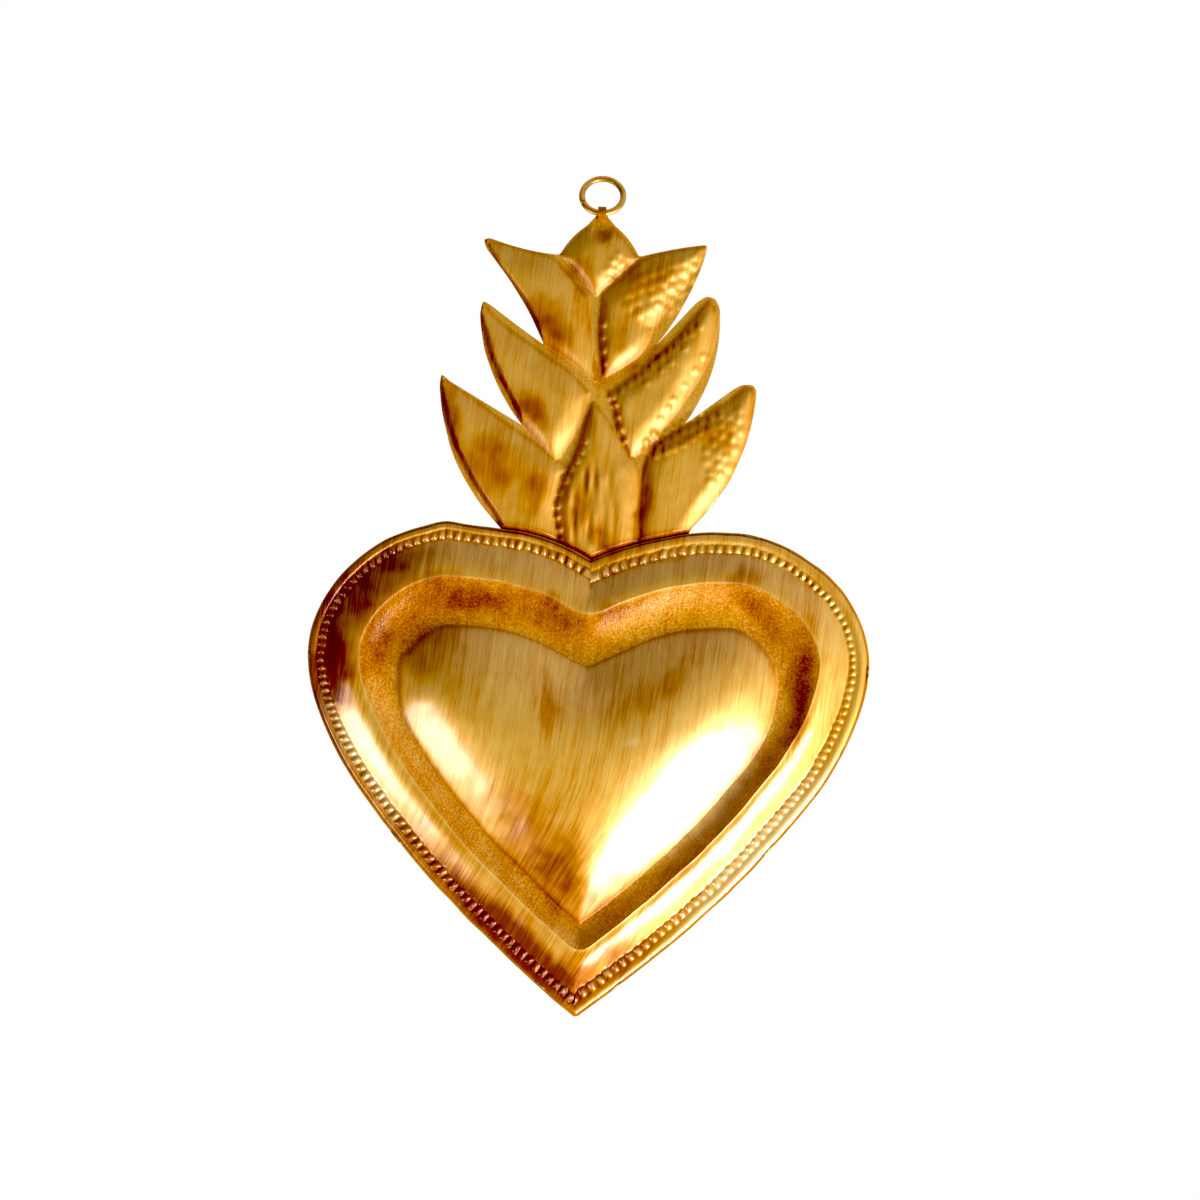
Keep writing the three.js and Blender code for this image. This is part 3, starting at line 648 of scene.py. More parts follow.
def half_outline():
    """The right half of the heart's outline, from the notch to the tip."""
    notch = np.array([0.0, NOTCH_Z])
    lobe = np.array([LOBE_X, LOBE_Z])
    side = np.array([HALF_WIDTH, WIDEST_Z])
    tip = np.array([0.0, 0.0])
    from_notch = notch + NOTCH_REACH * np.array([math.cos(NOTCH_SLOPE), math.sin(NOTCH_SLOPE)])
    from_tip = TIP_REACH * np.array([math.cos(TIP_SLOPE), math.sin(TIP_SLOPE)])
    parts = [
        bezier(notch, from_notch, lobe - [LOBE_REACH_IN, 0], lobe, CURVE_STEPS)[:-1],
        bezier(lobe, lobe + [LOBE_REACH_OUT, 0], side + [0, SIDE_REACH_UP], side, CURVE_STEPS)[:-1],
        bezier(side, side - [0, SIDE_REACH_DOWN], from_tip, tip, CURVE_STEPS),
    ]
    return resample(np.vstack(parts), OUTLINE_STEPS)


HALF = half_outline()
HALF_LENGTH = lengths_along(HALF)[-1]


def inward_normals():
    """Direction across the half outline, towards the heart's middle."""
    along = np.gradient(HALF, axis=0)
    along /= np.linalg.norm(along, axis=1)[:, None]
    return np.stack([along[:, 1], -along[:, 0]], axis=1)


HALF_NORMALS = inward_normals()


def inset_half(inset, count):
    """The half outline moved inwards, which may vary along it, cut at the axis and resampled."""
    inset = np.broadcast_to(inset, len(HALF))
    line = HALF + HALF_NORMALS * inset[:, None]
    if inset[0] > 0:
        line = np.vstack([[0.0, NOTCH_Z - inset[0] / math.cos(NOTCH_SLOPE)], line])
    if line[0, 0] < 0:
        line = line[1:]
    kept = len(line)
    while line[kept - 1, 0] < 0:
        kept -= 1
    if kept < len(line):
        a, b = line[kept - 1], line[kept]
        t = a[0] / (a[0] - b[0])
        line = np.vstack([line[:kept], a + (b - a) * t])
    line[0, 0] = 0.0
    line[-1, 0] = 0.0
    return resample(line, count)


def whole_loop(left, right):
    """One closed loop, clockwise from the notch, from two half lines drawn on the right."""
    mirrored = left * [-1, 1]
    return np.vstack([right, mirrored[-2:0:-1]])


def round_corner(loop, corner, reach):
    """The loop with one of its corners replaced by a curve that starts and ends that far from it."""
    turned = np.roll(loop, len(loop) // 2 - corner, axis=0)
    middle = len(loop) // 2
    along = lengths_along(turned)
    along = along - along[middle]
    near = np.abs(along) < reach
    if near.sum() < 3:
        return loop
    first, last = np.flatnonzero(near)[[0, -1]]
    t = ((along[near] - along[first]) / (along[last] - along[first]))[:, None]
    turned[near] = arc(turned[first], turned[middle], turned[last], t)
    return np.roll(turned, corner - len(loop) // 2, axis=0)


def join_halves(left, right):
    """Values along a whole loop from those along its two halves."""
    return np.concatenate([right, left[-2:0:-1]])


def along_half(tables, half, share):
    """A value from the left or right half's table, at shares of the way from notch to tip."""
    shares, values = np.array(tables[half]).T
    return np.interp(share, shares, values)


def groove_width(half, share):
    """Width of the groove, with the table's corners smoothed."""
    width = along_half((GROOVE_WIDTH_LEFT, GROOVE_WIDTH_RIGHT), half, share)
    window = 2 * WIDTH_SMOOTHING + 1
    return np.convolve(np.pad(width, WIDTH_SMOOTHING, "edge"), np.ones(window) / window, "valid")


def bead_phase(half, along):
    """Number of beads passed at a distance along the half outline."""
    places = np.linspace(0, HALF_LENGTH, PITCH_STEPS)
    pitch = along_half((BEAD_PITCH_LEFT, BEAD_PITCH_RIGHT), half, places / HALF_LENGTH)
    pitch = pitch * (1 + PITCH_UNEVEN * soft_noise(places, 0 * places, PITCH_WAVE, PITCH_SEED + half))
    passed = np.concatenate([[0.0], np.cumsum(np.diff(places) / pitch[:-1])])
    return np.interp(along, places, passed)


def bead_rise(half, inset, along):
    """Height of the punched bars, and how far a place is down between two of them."""
    size = along_half((BEAD_SIZE_LEFT, BEAD_SIZE_RIGHT), half, along / HALF_LENGTH)
    draws = np.random.default_rng(BEAD_SEED + half).uniform(-1, 1, (MOST_BEADS, 4))
    phase = bead_phase(half, along)
    number = np.clip(np.round(phase).astype(int), 0, MOST_BEADS - 1)
    drift, stretch, lean, lift = (draws[number] * BEAD_JITTER).T
    across = (inset - BEAD_INSET[half] - drift) / (BEAD_HALF_LONG * size * (1 + stretch))
    bar = 1 - smoothstep(*BEAD_FLANK, np.abs(phase - number + lean * across))
    ends = np.clip(1 - across ** 2, 0, 1) ** BEAD_END_BEND
    rise = BEAD_RISE * size * (1 + lift) * bar * ends
    gap = (1 - bar) * (np.abs(across) < BEAD_GAP_REACH)
    return rise, gap


def row_inset(half, zone, value):
    """How far inside the half outline a row of the heart's relief runs, all along it."""
    crest = CREST_INSET[half]
    foot = BEAD_INSET[half] + BEAD_FOOT
    if zone == "rim":
        return np.full(len(HALF), value * foot)
    if zone == "border":
        return np.full(len(HALF), foot + value * (crest - foot))
    return crest + value * groove_width(half, np.linspace(0, 1, len(HALF)))


def base_rise(zone, value, half):
    """Height of a row of the heart's relief without its beads."""
    if zone == "rim":
        middle = (BEAD_INSET[half] - BEAD_FOOT) / 2
        inset = value * (BEAD_INSET[half] + BEAD_FOOT)
        return RIM_ROUND * np.clip(1 - ((inset - middle) / middle) ** 2, 0, 1)
    if zone == "border":
        rounded = CREST_DROP * math.exp(-((1 - value) * BORDER_SPAN / CREST_SOFT) ** 2)
        return CREST_RISE * value + BORDER_SWELL * math.sin(math.pi * value) - rounded
    rounded = CREST_DROP * math.exp(-(value * GROOVE_SPAN / CREST_SOFT) ** 2)
    return GROOVE_FLOOR + (CREST_RISE - GROOVE_FLOOR) * (1 - value) ** GROOVE_BEND - rounded


def relief_row(zone, value):
    """One closed row of the heart's relief: its plan, its heights and how far it is down between beads."""
    count = HALF_POINTS if zone == "rim" else HALF_POINTS // 2
    halves, rises, gaps = [], [], []
    for half in (0, 1):
        inset = row_inset(half, zone, value)
        line = inset_half(inset, count)
        rise = np.full(len(line), base_rise(zone, value, half))
        gap = np.zeros(len(line))
        if zone == "rim":
            _, along = distance_to_line(line, HALF[::3])
            bead, gap = bead_rise(half, float(inset[0]), along)
            rise = rise + bead
        halves.append(line)
        rises.append(rise)
        gaps.append(gap)
    bend = {"rim": 0.0, "border": value, "groove": 1 - value}[zone]
    loop = round_corner(whole_loop(*halves), count, TIP_ROUND * bend)
    loop = round_corner(loop, 0, NOTCH_ROUND * bend)
    return loop, join_halves(*rises), join_halves(*gaps)


def row_finish(zone, value, loop, rise, gap):
    """Glaze, wear and grain along one row of the heart's relief."""
    x, z = loop.T
    plain = np.zeros(len(loop))
    if zone == "groove":
        crest = math.exp(-(value / CREST_BAND_IN) ** 2)
        grain = 1.0 if value > GROOVE_GRAIN_FROM else 0.0
        return plain + GROOVE_GLAZE - CREST_RUBBED * crest, plain + CREST_WEAR * crest, plain + grain
    stained = smoothstep(*STAIN_LEFT, -x) * (1 - smoothstep(*STAIN_ENDS[zone], z))
    if zone == "border":
        crest = math.exp(-((1 - value) / CREST_BAND_OUT) ** 2)
        glaze_and_shade = BORDER_STAIN * (1 - value) ** BORDER_STAIN_BEND * stained - CREST_RUBBED * crest
        return glaze_and_shade, plain + CREST_WEAR * crest, plain
    glaze_and_shade = BEAD_GAP_GLAZE * gap + LEFT_RIM_GLAZE * smoothstep(*LEFT_RIM, -x) + RIM_STAIN * stained
    return glaze_and_shade, BEAD_WEAR * between(*BEAD_WORN, rise) * (1 - stained), plain


def relief_rows():
    """Plan, rise, glaze, wear and grain of all rows from the rim to the pillow's foot."""
    rows = []
    for zone, values in HEART_ROWS.items():
        for value in values:
            loop, rise, gap = relief_row(zone, value)
            rows.append((loop, rise, *row_finish(zone, value, loop, rise, gap)))
    return rows


def pull_reach(along, gap):
    """Running sum of 1 / distance ** 4 along a straight line that passes at that gap."""
    return along / (2 * gap ** 2 * (gap ** 2 + along ** 2)) + np.arctan(along / gap) / (2 * gap ** 3)


def smooth_distance(places, loop):
    """Distance from places inside a closed loop to all of it at once, so that no ridge is left inside."""
    step = np.roll(loop, -1, axis=0) - loop
    length = np.linalg.norm(step, axis=1)
    along = step / length[:, None]
    offset = places[:, None] - loop[None]
    near = -(offset * along[None]).sum(2)
    gap = np.abs(offset[..., 0] * along[None, :, 1] - offset[..., 1] * along[None, :, 0])
    gap = np.maximum(gap, LEAST_GAP)
    pull = (pull_reach(near + length, gap) - pull_reach(near, gap)).sum(1)
    return (pull / (math.pi / 2)) ** (-1 / 3)


def dome_rise(places, foot_loop):
    """Height of the middle pillow above the groove's floor."""
    gap = np.hypot(smooth_distance(places, foot_loop), DOME_FILLET) - DOME_FILLET
    share = np.clip(gap / DOME_SHOULDER, 0, 1)
    return DOME_RISE * (1 - (1 - share) ** DOME_BEND)


def shrunk(loop, scales, halved):
    """Rows of the loop drawn in to the heart's middle, with half the points from each halved row on."""
    rows = []
    for scale in scales:
        loop = loop[::2] if scale in halved else loop
        rows.append(DOME_CENTRE + (loop - DOME_CENTRE) * scale)
    return rows


def dome_rows(foot):
    """Plan, rise, glaze with painted shade at the foot, wear and grain of all rows of the middle pillow.
    """
    rows = []
    for scale, loop in zip(DOME_ROWS, shrunk(foot, DOME_ROWS, DOME_HALVED)):
        near_foot = np.full(len(loop), smoothstep(*FOOT_BAND, scale))
        rise = GROOVE_FLOOR + dome_rise(loop, foot)
        # Glaze and painted shade in the corner at the pillow's foot
        rows.append((loop, rise, FOOT_GLAZE_AND_SHADE * near_foot, 0 * near_foot, FOOT_GRAIN * near_foot))
    return rows


def heart_front():
    """The embossed front sheet: rim, bead row, border, groove and middle pillow."""
    rows = relief_rows()
    foot = len(rows) - 1
    rows += dome_rows(rows[foot][0])
    loops = row_numbers([row[0] for row in rows])
    plan, rise, glaze_and_shade, wear_and_highlight, grain = (np.concatenate(part) for part in zip(*rows))
    rise = rise + layers_at(HEART_DENTS, *plan.T) * smoothstep(*HEART_DENTED, rise)
    x, z = hand_warp(plan).T
    front = np.column_stack([x + AXIS_X, HEART_FACE_Y - rise, z + TIP_Z])
    points, faces = closed_sheet(front, front + [0, SHEET, 0], loops)
    attributes = {
        # Glaze with painted shade from the patches and at the pillow's foot
        "glaze_and_shade": both_sides(glaze_and_shade_at(plan) + glaze_and_shade),
        # Wear on crests and bead tops, plus painted highlights on the pillow's flanks and lower borders
        "wear_and_highlight": both_sides(wear_and_highlight + patches_at(plan, HIGHLIGHTS_AND_RUBBED_SPOT)),
        "grain": both_sides(grain),
    }
    return make_piece("heart_face", points, faces, "ornament", ["heart_front"],
                      attributes, both_sides(brush_places(plan)), loops[foot])


def heart_back():
    """The plain sheet that closes the heart, slightly sunk between its edges."""
    half = inset_half(-LEDGE, HALF_POINTS // 2)
    rows = shrunk(whole_loop(half, half), BACK_ROWS, BACK_HALVED)
    plan = np.vstack(rows)
    gap, _ = distance_to_line(plan, HALF[::6])
    other_gap, _ = distance_to_line(plan * [-1, 1], HALF[::6])
    sunk = smoothstep(*BACK_SUNK, np.minimum(gap, other_gap))
    sag = (layers_at(BACK_WAVES, *plan.T) - BACK_SAG) * sunk
    x, z = hand_warp(plan).T
    rear = np.column_stack([x + AXIS_X, BACK_REAR_Y + sag, z + TIP_Z])
    points, faces = closed_sheet(rear - [0, SHEET, 0], rear, row_numbers(rows))
    # Half of the front's glaze and painted-shade patches, over an even glaze
    glaze_and_shade = glaze_and_shade_at(plan) * BACK_GLAZE_SHARE + BACK_GLAZE
    return make_piece("heart_closing_sheet", points, faces, "ornament", ["heart_back"],
                      {"glaze_and_shade": both_sides(glaze_and_shade)}, both_sides(brush_places(plan)))


# Crown


def bowed(a, b, bow):
    """Points from a towards b, without b, on a curve that bows to the right of travel."""
    a, b = np.array(a), np.array(b)
    run = b - a
    side = np.array([run[1], -run[0]]) / np.linalg.norm(run)
    control = (a + b) / 2 + 2 * bow * side
    count = max(1, int(np.linalg.norm(run) / EDGE_STEP))
    t = np.linspace(0, 1, count + 1)[:-1, None]
    return arc(a, control, b, t)


def cut_outline():
    """The crown's cut edge, with its corners slightly rounded between the heart and the neck."""
    chain = []
    for here, after in zip(CUT_EDGE, CUT_EDGE[1:] + CUT_EDGE[:1]):
        chain.append(bowed(here[:2], after[:2], here[2]))
    chain = np.vstack(chain)
    reach = np.arange(-EDGE_WINDOW, EDGE_WINDOW + 1)
    weights = np.exp(-0.5 * (reach * EDGE_STEP / EDGE_ROUND) ** 2)
    rounded = sum(w * np.roll(chain, k, axis=0) for w, k in zip(weights, reach)) / weights.sum()
    kept = (chain[:, 1] > NECK_HEIGHT) | (chain[:, 1] < 0)
    return np.where(kept[:, None], chain, rounded)


def beaten_marks():
    """Place, radius and rise of punch marks in jittered rows over each beaten area."""
    marks = []
    for number, (middle, half, turn, pitch, radius, rise) in enumerate(BEATEN):
        draws = np.random.default_rng(BEATEN_SEED + number)
        c, s = math.cos(math.radians(turn)), math.sin(math.radians(turn))
        row_step = MARK_ROW_SHARE * pitch
        rows = int(half[1] / row_step) + 1
        columns = int(half[0] / pitch) + 1
        for j in range(-rows, rows + 1):
            for i in range(-columns, columns + 1):
                u = (i + 0.5 * (j % 2)) * pitch + draws.uniform(-MARK_DRIFT, MARK_DRIFT)
                v = j * row_step + draws.uniform(-MARK_DRIFT, MARK_DRIFT)
                size = draws.uniform(*BEATEN_SIZES)
                if (u / half[0]) ** 2 + (v / half[1]) ** 2 <= 1:
                    place = (middle[0] + u * c - v * s, middle[1] + u * s + v * c)
                    marks.append((place, radius * size, rise * size))
    return marks


def all_marks():
    """Place, radius and rise of every punch mark on the crown."""
    marks = beaten_marks()
    draws = np.random.default_rng(PUNCHED_SEED)
    for radius, rise, places in PUNCHED:
        for place in places:
            size = draws.uniform(*PUNCHED_SIZES)
            marks.append((place, radius * size, rise * size))
    return marks


def leaf_sides(sides):
    """The smooth line of each side of a leaf, up to where the next side starts."""
    return [spline(here[1] + after[1][:1]) for here, after in zip(sides, sides[1:] + sides[:1])]


def leaf_relief(places):
    """Height of the leaves, and the distance to the nearest crease round them."""
    rise = np.zeros(len(places))
    crease = np.full(len(places), np.inf)
    for height, sides in LEAVES.values():
        lines = leaf_sides(sides)
        loop = np.vstack([line[:-1] for line in lines])
        gaps = [distance_to_line(places, line)[0] for line in lines]
        nearest = np.min(gaps, axis=0)
        widths = np.array([width for width, _ in sides])
        total = sum(((gap + LEAF_SPREAD) / width) ** -LEAF_BLEND for width, gap in zip(widths, gaps))
        outside = (LEAF_SPREAD - nearest) / widths[np.argmin(gaps, axis=0)]
        share = np.where(inside(places, loop), total ** (-1 / LEAF_BLEND), outside)
        share = np.clip(share, 0, LEAF_MOST)
        pillow = LEAF_ROUND * (1 - (1 - np.minimum(share, 1)) ** 2) + LEAF_SMOOTH * smoothstep(0, 1, share)
        pillow = pillow + LEAF_TOP * smoothstep(LEAF_TOP_FROM, LEAF_MOST, share)
        rise = np.maximum(rise, height * pillow)
        crease = np.minimum(crease, nearest)
    return rise, crease


def lap_share(places):
    """Share of relief left near the heart and the pressed tongue, and the distance to the heart."""
    half = inset_half(-LEDGE, LAP_POINTS)
    heart = whole_loop(half, half)
    local = places + [0, NOTCH_Z]
    gap, _ = distance_to_line(local, np.vstack([heart, heart[:1]]))
    gap = np.where(inside(local, heart), -gap, gap)
    x, height = places.T
    tongue = np.hypot(x - TONGUE_X, np.maximum(0, HINGE_HEIGHT - TONGUE_REACH - height))
    return smoothstep(*LAP_FADES, gap) * smoothstep(*TONGUE_FADES, tongue), gap


def fold_path():
    """The tongue's middle from the hinge's height on: back and height from the hinge, with its length."""
    turn = np.linspace(0, math.pi, FOLD_STEPS + 1)
    over = FOLD_RADIUS * np.column_stack([np.cos(turn), np.sin(turn)])
    half_way = -PINCH / 2
    pinch = bezier(
        (-FOLD_RADIUS, 0), (-FOLD_RADIUS, half_way), (PRESSED, half_way), (PRESSED, -PINCH), FOLD_STEPS
    )
    path = np.vstack([over, pinch[1:], [[PRESSED, -PINCH - FOLD_RUN]]])
    return path, lengths_along(path)


def fold(x, height, offset):
    """Places on the crown's sheet: flat up to the hinge, then along the folded tongue."""
    path, length = fold_path()
    beyond = np.maximum(0, height - HINGE_HEIGHT)
    y, z = on_line(path, length, beyond)
    ahead = on_line(path, length, beyond + FOLD_PROBE) - on_line(path, length, beyond - FOLD_PROBE)
    ahead_y, ahead_z = ahead / np.maximum(np.hypot(*ahead), 1e-9)
    flat = height <= HINGE_HEIGHT
    y = np.where(flat, FOLD_RADIUS, y) + offset * np.where(flat, 1.0, ahead_z)
    z = np.where(flat, height - HINGE_HEIGHT, z) + offset * np.where(flat, 0.0, -ahead_y)
    return np.column_stack([x + AXIS_X, HINGE[1] + y, HINGE[2] + z])


def crown_plan():
    """Points of the crown's flat pattern: its cut edge, the leaves' edges and an even grid."""
    edge = cut_outline()
    low, high = edge.min(0), edge.max(0)
    grid = []
    for k, z in enumerate(np.arange(low[1], high[1], CROWN_STEP * CROWN_ROW_SHARE)):
        x = np.arange(low[0] + (k % 2) * CROWN_STEP / 2, high[0], CROWN_STEP)
        grid.append(np.column_stack([x, np.full(len(x), z)]))
    grid = np.vstack(grid)
    creases = np.vstack([line[:-1] for _, sides in LEAVES.values() for line in leaf_sides(sides)])
    closed = np.vstack([edge, edge[:1]])
    from_edge, _ = distance_to_line(creases, closed)
    creases = creases[inside(creases, edge) & (from_edge > CREASE_TO_EDGE)]
    _, first = np.unique(np.round(creases / CREASE_MERGE).astype(int), axis=0, return_index=True)
    creases = creases[np.sort(first)]
    from_edge, _ = distance_to_line(grid, closed)
    grid = grid[inside(grid, edge) & (from_edge > GRID_TO_EDGE * CROWN_STEP)]
    from_crease = []
    for first in range(0, len(grid), BLOCK):
        block = grid[first:first + BLOCK]
        from_crease.append(np.linalg.norm(block[:, None] - creases[None], axis=2).min(1))
    clear = np.concatenate(from_crease) > GRID_TO_CREASE * CROWN_STEP
    return edge, np.vstack([edge, creases, grid[clear]])


def crown_mesh():
    """Points, triangles and free edges of the crown's flat pattern."""
    edge, plan = crown_plan()
    border = [(k, (k + 1) % len(edge)) for k in range(len(edge))]
    made = delaunay_2d_cdt([Vector(p) for p in plan], border, [], 1, 1e-5)
    plan = np.array([tuple(p) for p in made[0]])
    triangles = [tuple(face) for face in made[2]]
    sides = {}
    for a, b, c in triangles:
        for side in ((a, b), (b, c), (c, a)):
            sides[side] = True
    rim = [side for side in sides if side[::-1] not in sides]
    return plan, triangles, rim


def crown_rise(plan, share):
    """Height of the crown's relief with its punch marks, dents and ribs, and the distance to a crease."""
    rise, crease = leaf_relief(plan)
    for place, radius, height in all_marks():
        gap = np.linalg.norm(plan - place, axis=1) / radius
        rise = rise + height * np.clip(1 - gap ** 2, 0, 1) ** 2
    x, z = plan.T
    rise = rise + layers_at(CROWN_DENTS, x, z) * smoothstep(*CROWN_DENTED, rise)
    ribbed = np.exp(-((x - RIBS_X) / RIBS_HALF) ** 4)
    ribbed = ribbed * smoothstep(*RIBS_FROM, z) * (1 - smoothstep(*RIBS_TO, z))
    ribs = RIBS_RISE * ribbed * soft_noise(x + RIBS_SLANT * z, z / RIBS_LONG, 1.0, RIBS_SEED)
    return (rise + ribs) * share, crease


def crown_glaze_and_shade(plan, share, crease, from_heart, sideways):
    """Brown glaze and painted shade on the crown: patches, glaze in the creases, painted shade along the
    heart's edge and on the leaves' left flanks.
    """
    x, z = plan.T
    glaze_and_shade = glaze_and_shade_at(plan + [0, NOTCH_Z]) + CREASE_GLAZE * np.exp(-(crease / CREASE_BAND) ** 2) * share
    # Painted shade along the heart's edge and just behind it
    glaze_and_shade += LAP_SHADE * np.exp(-np.maximum(from_heart, 0) ** 2) * smoothstep(*LAP_BEHIND, from_heart)
    # Painted shade on flanks that face left, away from the key light, except beside the bud
    beside_bud = smoothstep(*BUD_FROM_HEIGHT, z) * smoothstep(*BUD_FROM_X, x)
    return glaze_and_shade + LEFT_FLANK_SHADE * smoothstep(*FLANK_TURN, -sideways) * (1 - beside_bud)


def crown_sheet():
    """The embossed crown of leaves, with its tongue folded over the ring's wire."""
    plan, triangles, rim = crown_mesh()
    share, from_heart = lap_share(plan)
    rise, crease = crown_rise(plan, share)
    x, height = (hand_warp(plan + [0, NOTCH_Z]) - [0, NOTCH_Z]).T
    forward = np.column_stack([0 * x, rise, 0 * x])
    front = fold(x, height, -SHEET / 2) - forward
    rear = fold(x, height, SHEET / 2) - forward
    total = len(plan)
    faces = triangles + [(c + total, b + total, a + total) for a, b, c in triangles]
    faces += [(b, a, a + total, b + total) for a, b in rim]
    glaze_and_shade = crown_glaze_and_shade(plan, share, crease, from_heart, facing(front, triangles)[:, 0])
    wear_and_highlight = LEAF_WEAR * between(*LEAF_WORN, rise)
    grain = FLAT_GRAIN * np.exp(-(rise / FLAT_RISE) ** 2)
    attributes = {"glaze_and_shade": np.tile(glaze_and_shade, 2), "wear_and_highlight": np.tile(wear_and_highlight, 2), "grain": np.tile(grain, 2)}
    strokes = np.tile(brush_places(plan + [0, NOTCH_Z]), (2, 1))
    return make_piece("flame_crown", np.vstack([front, rear]), faces, "ornament", ["crown"],
                      attributes, strokes)


# Ring and solder


def tube_faces(rounds, points, closed):
    """Four-sided faces between rounds of points, with the last round joined to the first where closed."""
    faces = []
    for i in range(rounds if closed else rounds - 1):
        here, after = i * points, (i + 1) % rounds * points
        for j in range(points):
            k = (j + 1) % points
            faces.append((here + j, after + j, after + k, here + k))
    return faces


def hanging_ring():
    """The wire ring, slightly out of round, with the seam where its ends meet."""
    points = []
    up = np.array([0.0, math.sin(RING_LEAN), math.cos(RING_LEAN)])
    across = np.array([1.0, 0.0, 0.0])
    normal = np.cross(across, up)
    for i in range(RING_STEPS):
        turn = 2 * math.pi * i / RING_STEPS
        out = across * math.cos(turn) + up * math.sin(turn)
        oval = RING_OVAL * math.sin(2 * turn + OVAL_TURN) * (0.5 - 0.5 * math.sin(turn))
        off_seam = math.atan2(math.sin(turn - SEAM_AT), math.cos(turn - SEAM_AT))
        radius = RING_WIRE / 2 * (1 - SEAM_DEPTH * math.exp(-(off_seam / SEAM_WIDTH) ** 2))
        for j in range(WIRE_STEPS):
            round_wire = 2 * math.pi * j / WIRE_STEPS
            offset = out * (RING_RADIUS + oval + radius * math.cos(round_wire))
            points.append(offset + normal * radius * math.sin(round_wire))
    faces = tube_faces(RING_STEPS, WIRE_STEPS, True)
    return make_piece("wire_ring", points, faces, "ring", ["hanging_ring"])


def solder_points(middle, axes, extent, bumps):
    """Points of a lumpy rounded block with half sizes extent along its axes."""
    points = []
    for i in range(SOLDER_ROUNDS + 1):
        polar = math.pi * i / SOLDER_ROUNDS
        for j in range(SOLDER_POINTS):
            turn = 2 * math.pi * j / SOLDER_POINTS
            across = math.sin(polar)
            spot = np.array([math.cos(polar), across * math.cos(turn), across * math.sin(turn)])
            spot = np.sign(spot) * np.abs(spot) ** SOLDER_SQUARE
            lump = 1 + LUMP_BROAD * math.sin(3 * polar + bumps[0]) * math.sin(2 * turn + bumps[1])
            lump += LUMP_FINE * math.sin(7 * polar + bumps[2]) * math.cos(turn + bumps[3])
            points.append(middle + (spot * extent * lump * SOLDER_FILL) @ axes)
    return points


def solder_beads():
    """One lumpy bead for each solder node, along that node's own axes."""
    made = []
    faces = [(a, d, c, b) for a, b, c, d in tube_faces(SOLDER_ROUNDS + 1, SOLDER_POINTS, False)]
    names = sorted(name for name in frame["nodes"] if name.startswith(("rim_tack", "crown_solder")))
    for number, name in enumerate(names):
        corners = np.array([tuple(v.co) for v in frame["nodes"][name].data.vertices]) * MM
        middle = corners.mean(0)
        _, _, axes = np.linalg.svd(corners - middle, full_matrices=False)
        extent = np.abs((corners - middle) @ axes.T).max(0)
        bumps = np.random.default_rng(SOLDER_SEED + number).uniform(0, 2 * math.pi, 4)
        points = solder_points(middle, axes, extent, bumps)
        made.append(make_piece("bead_" + name, points, faces, "ornament", [name]))
    return made


# Materials


class Nodes:
    """Short calls for building the nodes of one material or world."""

    def __init__(self, owner):
        owner.use_nodes = True
        self.owner = owner
        self.tree = owner.node_tree

    def add(self, kind, **settings):
        made = self.tree.nodes.new(kind)
        for key, value in settings.items():
            setattr(made, key, value)
        return made

    def put(self, value, socket):
        """Joins a node's output to the socket, or sets the socket to a plain value."""
        if hasattr(value, "links"):
            self.tree.links.new(value, socket)
        else:
            socket.default_value = value

    def fill(self, node, **values):
        """Puts values on a node's inputs, named with _ for a space."""
        for key, value in values.items():
            self.put(value, node.inputs[key.replace("_", " ")])
        return node

    def paint(self, **values):
        self.fill(self.tree.nodes["Principled BSDF"], **values)
        return self.owner

    def maths(self, operation, a, b, clamp=False):
        made = self.add("ShaderNodeMath", operation=operation, use_clamp=clamp)
        self.put(a, made.inputs[0])
        self.put(b, made.inputs[1])
        return made.outputs[0]

    def added(self, first, *others):
        for value in others:
            first = self.maths("ADD", first, value)
        return first

    def centred(self, value, gain):
        """Noise moved so that its middle is 0, times a gain."""
        return self.maths("MULTIPLY", self.maths("SUBTRACT", value, 0.5), gain)

    def attribute(self, name):
        return self.add("ShaderNodeAttribute", attribute_name=name).outputs["Fac"]

    def noise_at(self, place, scale, **settings):
        mapping = self.fill(self.add("ShaderNodeMapping"), Vector=place, Scale=scale)
        made = self.add("ShaderNodeTexNoise")
        return self.fill(made, Vector=mapping.outputs[0], Scale=1.0, **settings).outputs["Fac"]

    def noise(self, scale, detail, distortion=0.0):
        """Noise in the object's own millimetres: scale is changes per millimetre along x, y and z."""
        place = self.add("ShaderNodeTexCoord").outputs["Object"]
        scale = tuple(MM * s for s in scale)
        return self.noise_at(place, scale, Detail=detail, Roughness=NOISE_ROUGHNESS, Distortion=distortion)

    def brushed(self, across, along, detail=3.0):
        """Noise drawn out along the brush strokes: changes per millimetre across and along them."""
        place = self.add("ShaderNodeAttribute", attribute_name="strokes").outputs["Vector"]
        return self.noise_at(place, (across, 1.0, along), Detail=detail)

    def ramp(self, value, stops):
        made = self.add("ShaderNodeValToRGB")
        elements = made.color_ramp.elements
        while len(elements) < len(stops):
            elements.new(0.5)
        for element, (position, colour) in zip(elements, stops):
            element.position = position
            element.color = (*colour, 1.0)
        return self.fill(made, Fac=value).outputs["Color"]

    def mix(self, share, colour, fixed):
        """A colour moved towards a fixed one. Inputs 6 and 7 and output 2 are the node's colours."""
        made = self.add("ShaderNodeMix", data_type="RGBA")
        self.fill(made, Factor=share)
        self.put(colour, made.inputs[6])
        self.put((*fixed, 1.0), made.inputs[7])
        return made.outputs[2]

    def bump(self, height, strength, depth):
        """A bumpy surface, with the depth in millimetres."""
        made = self.add("ShaderNodeBump")
        return self.fill(made, Height=height, Strength=strength, Distance=depth / MM).outputs["Normal"]


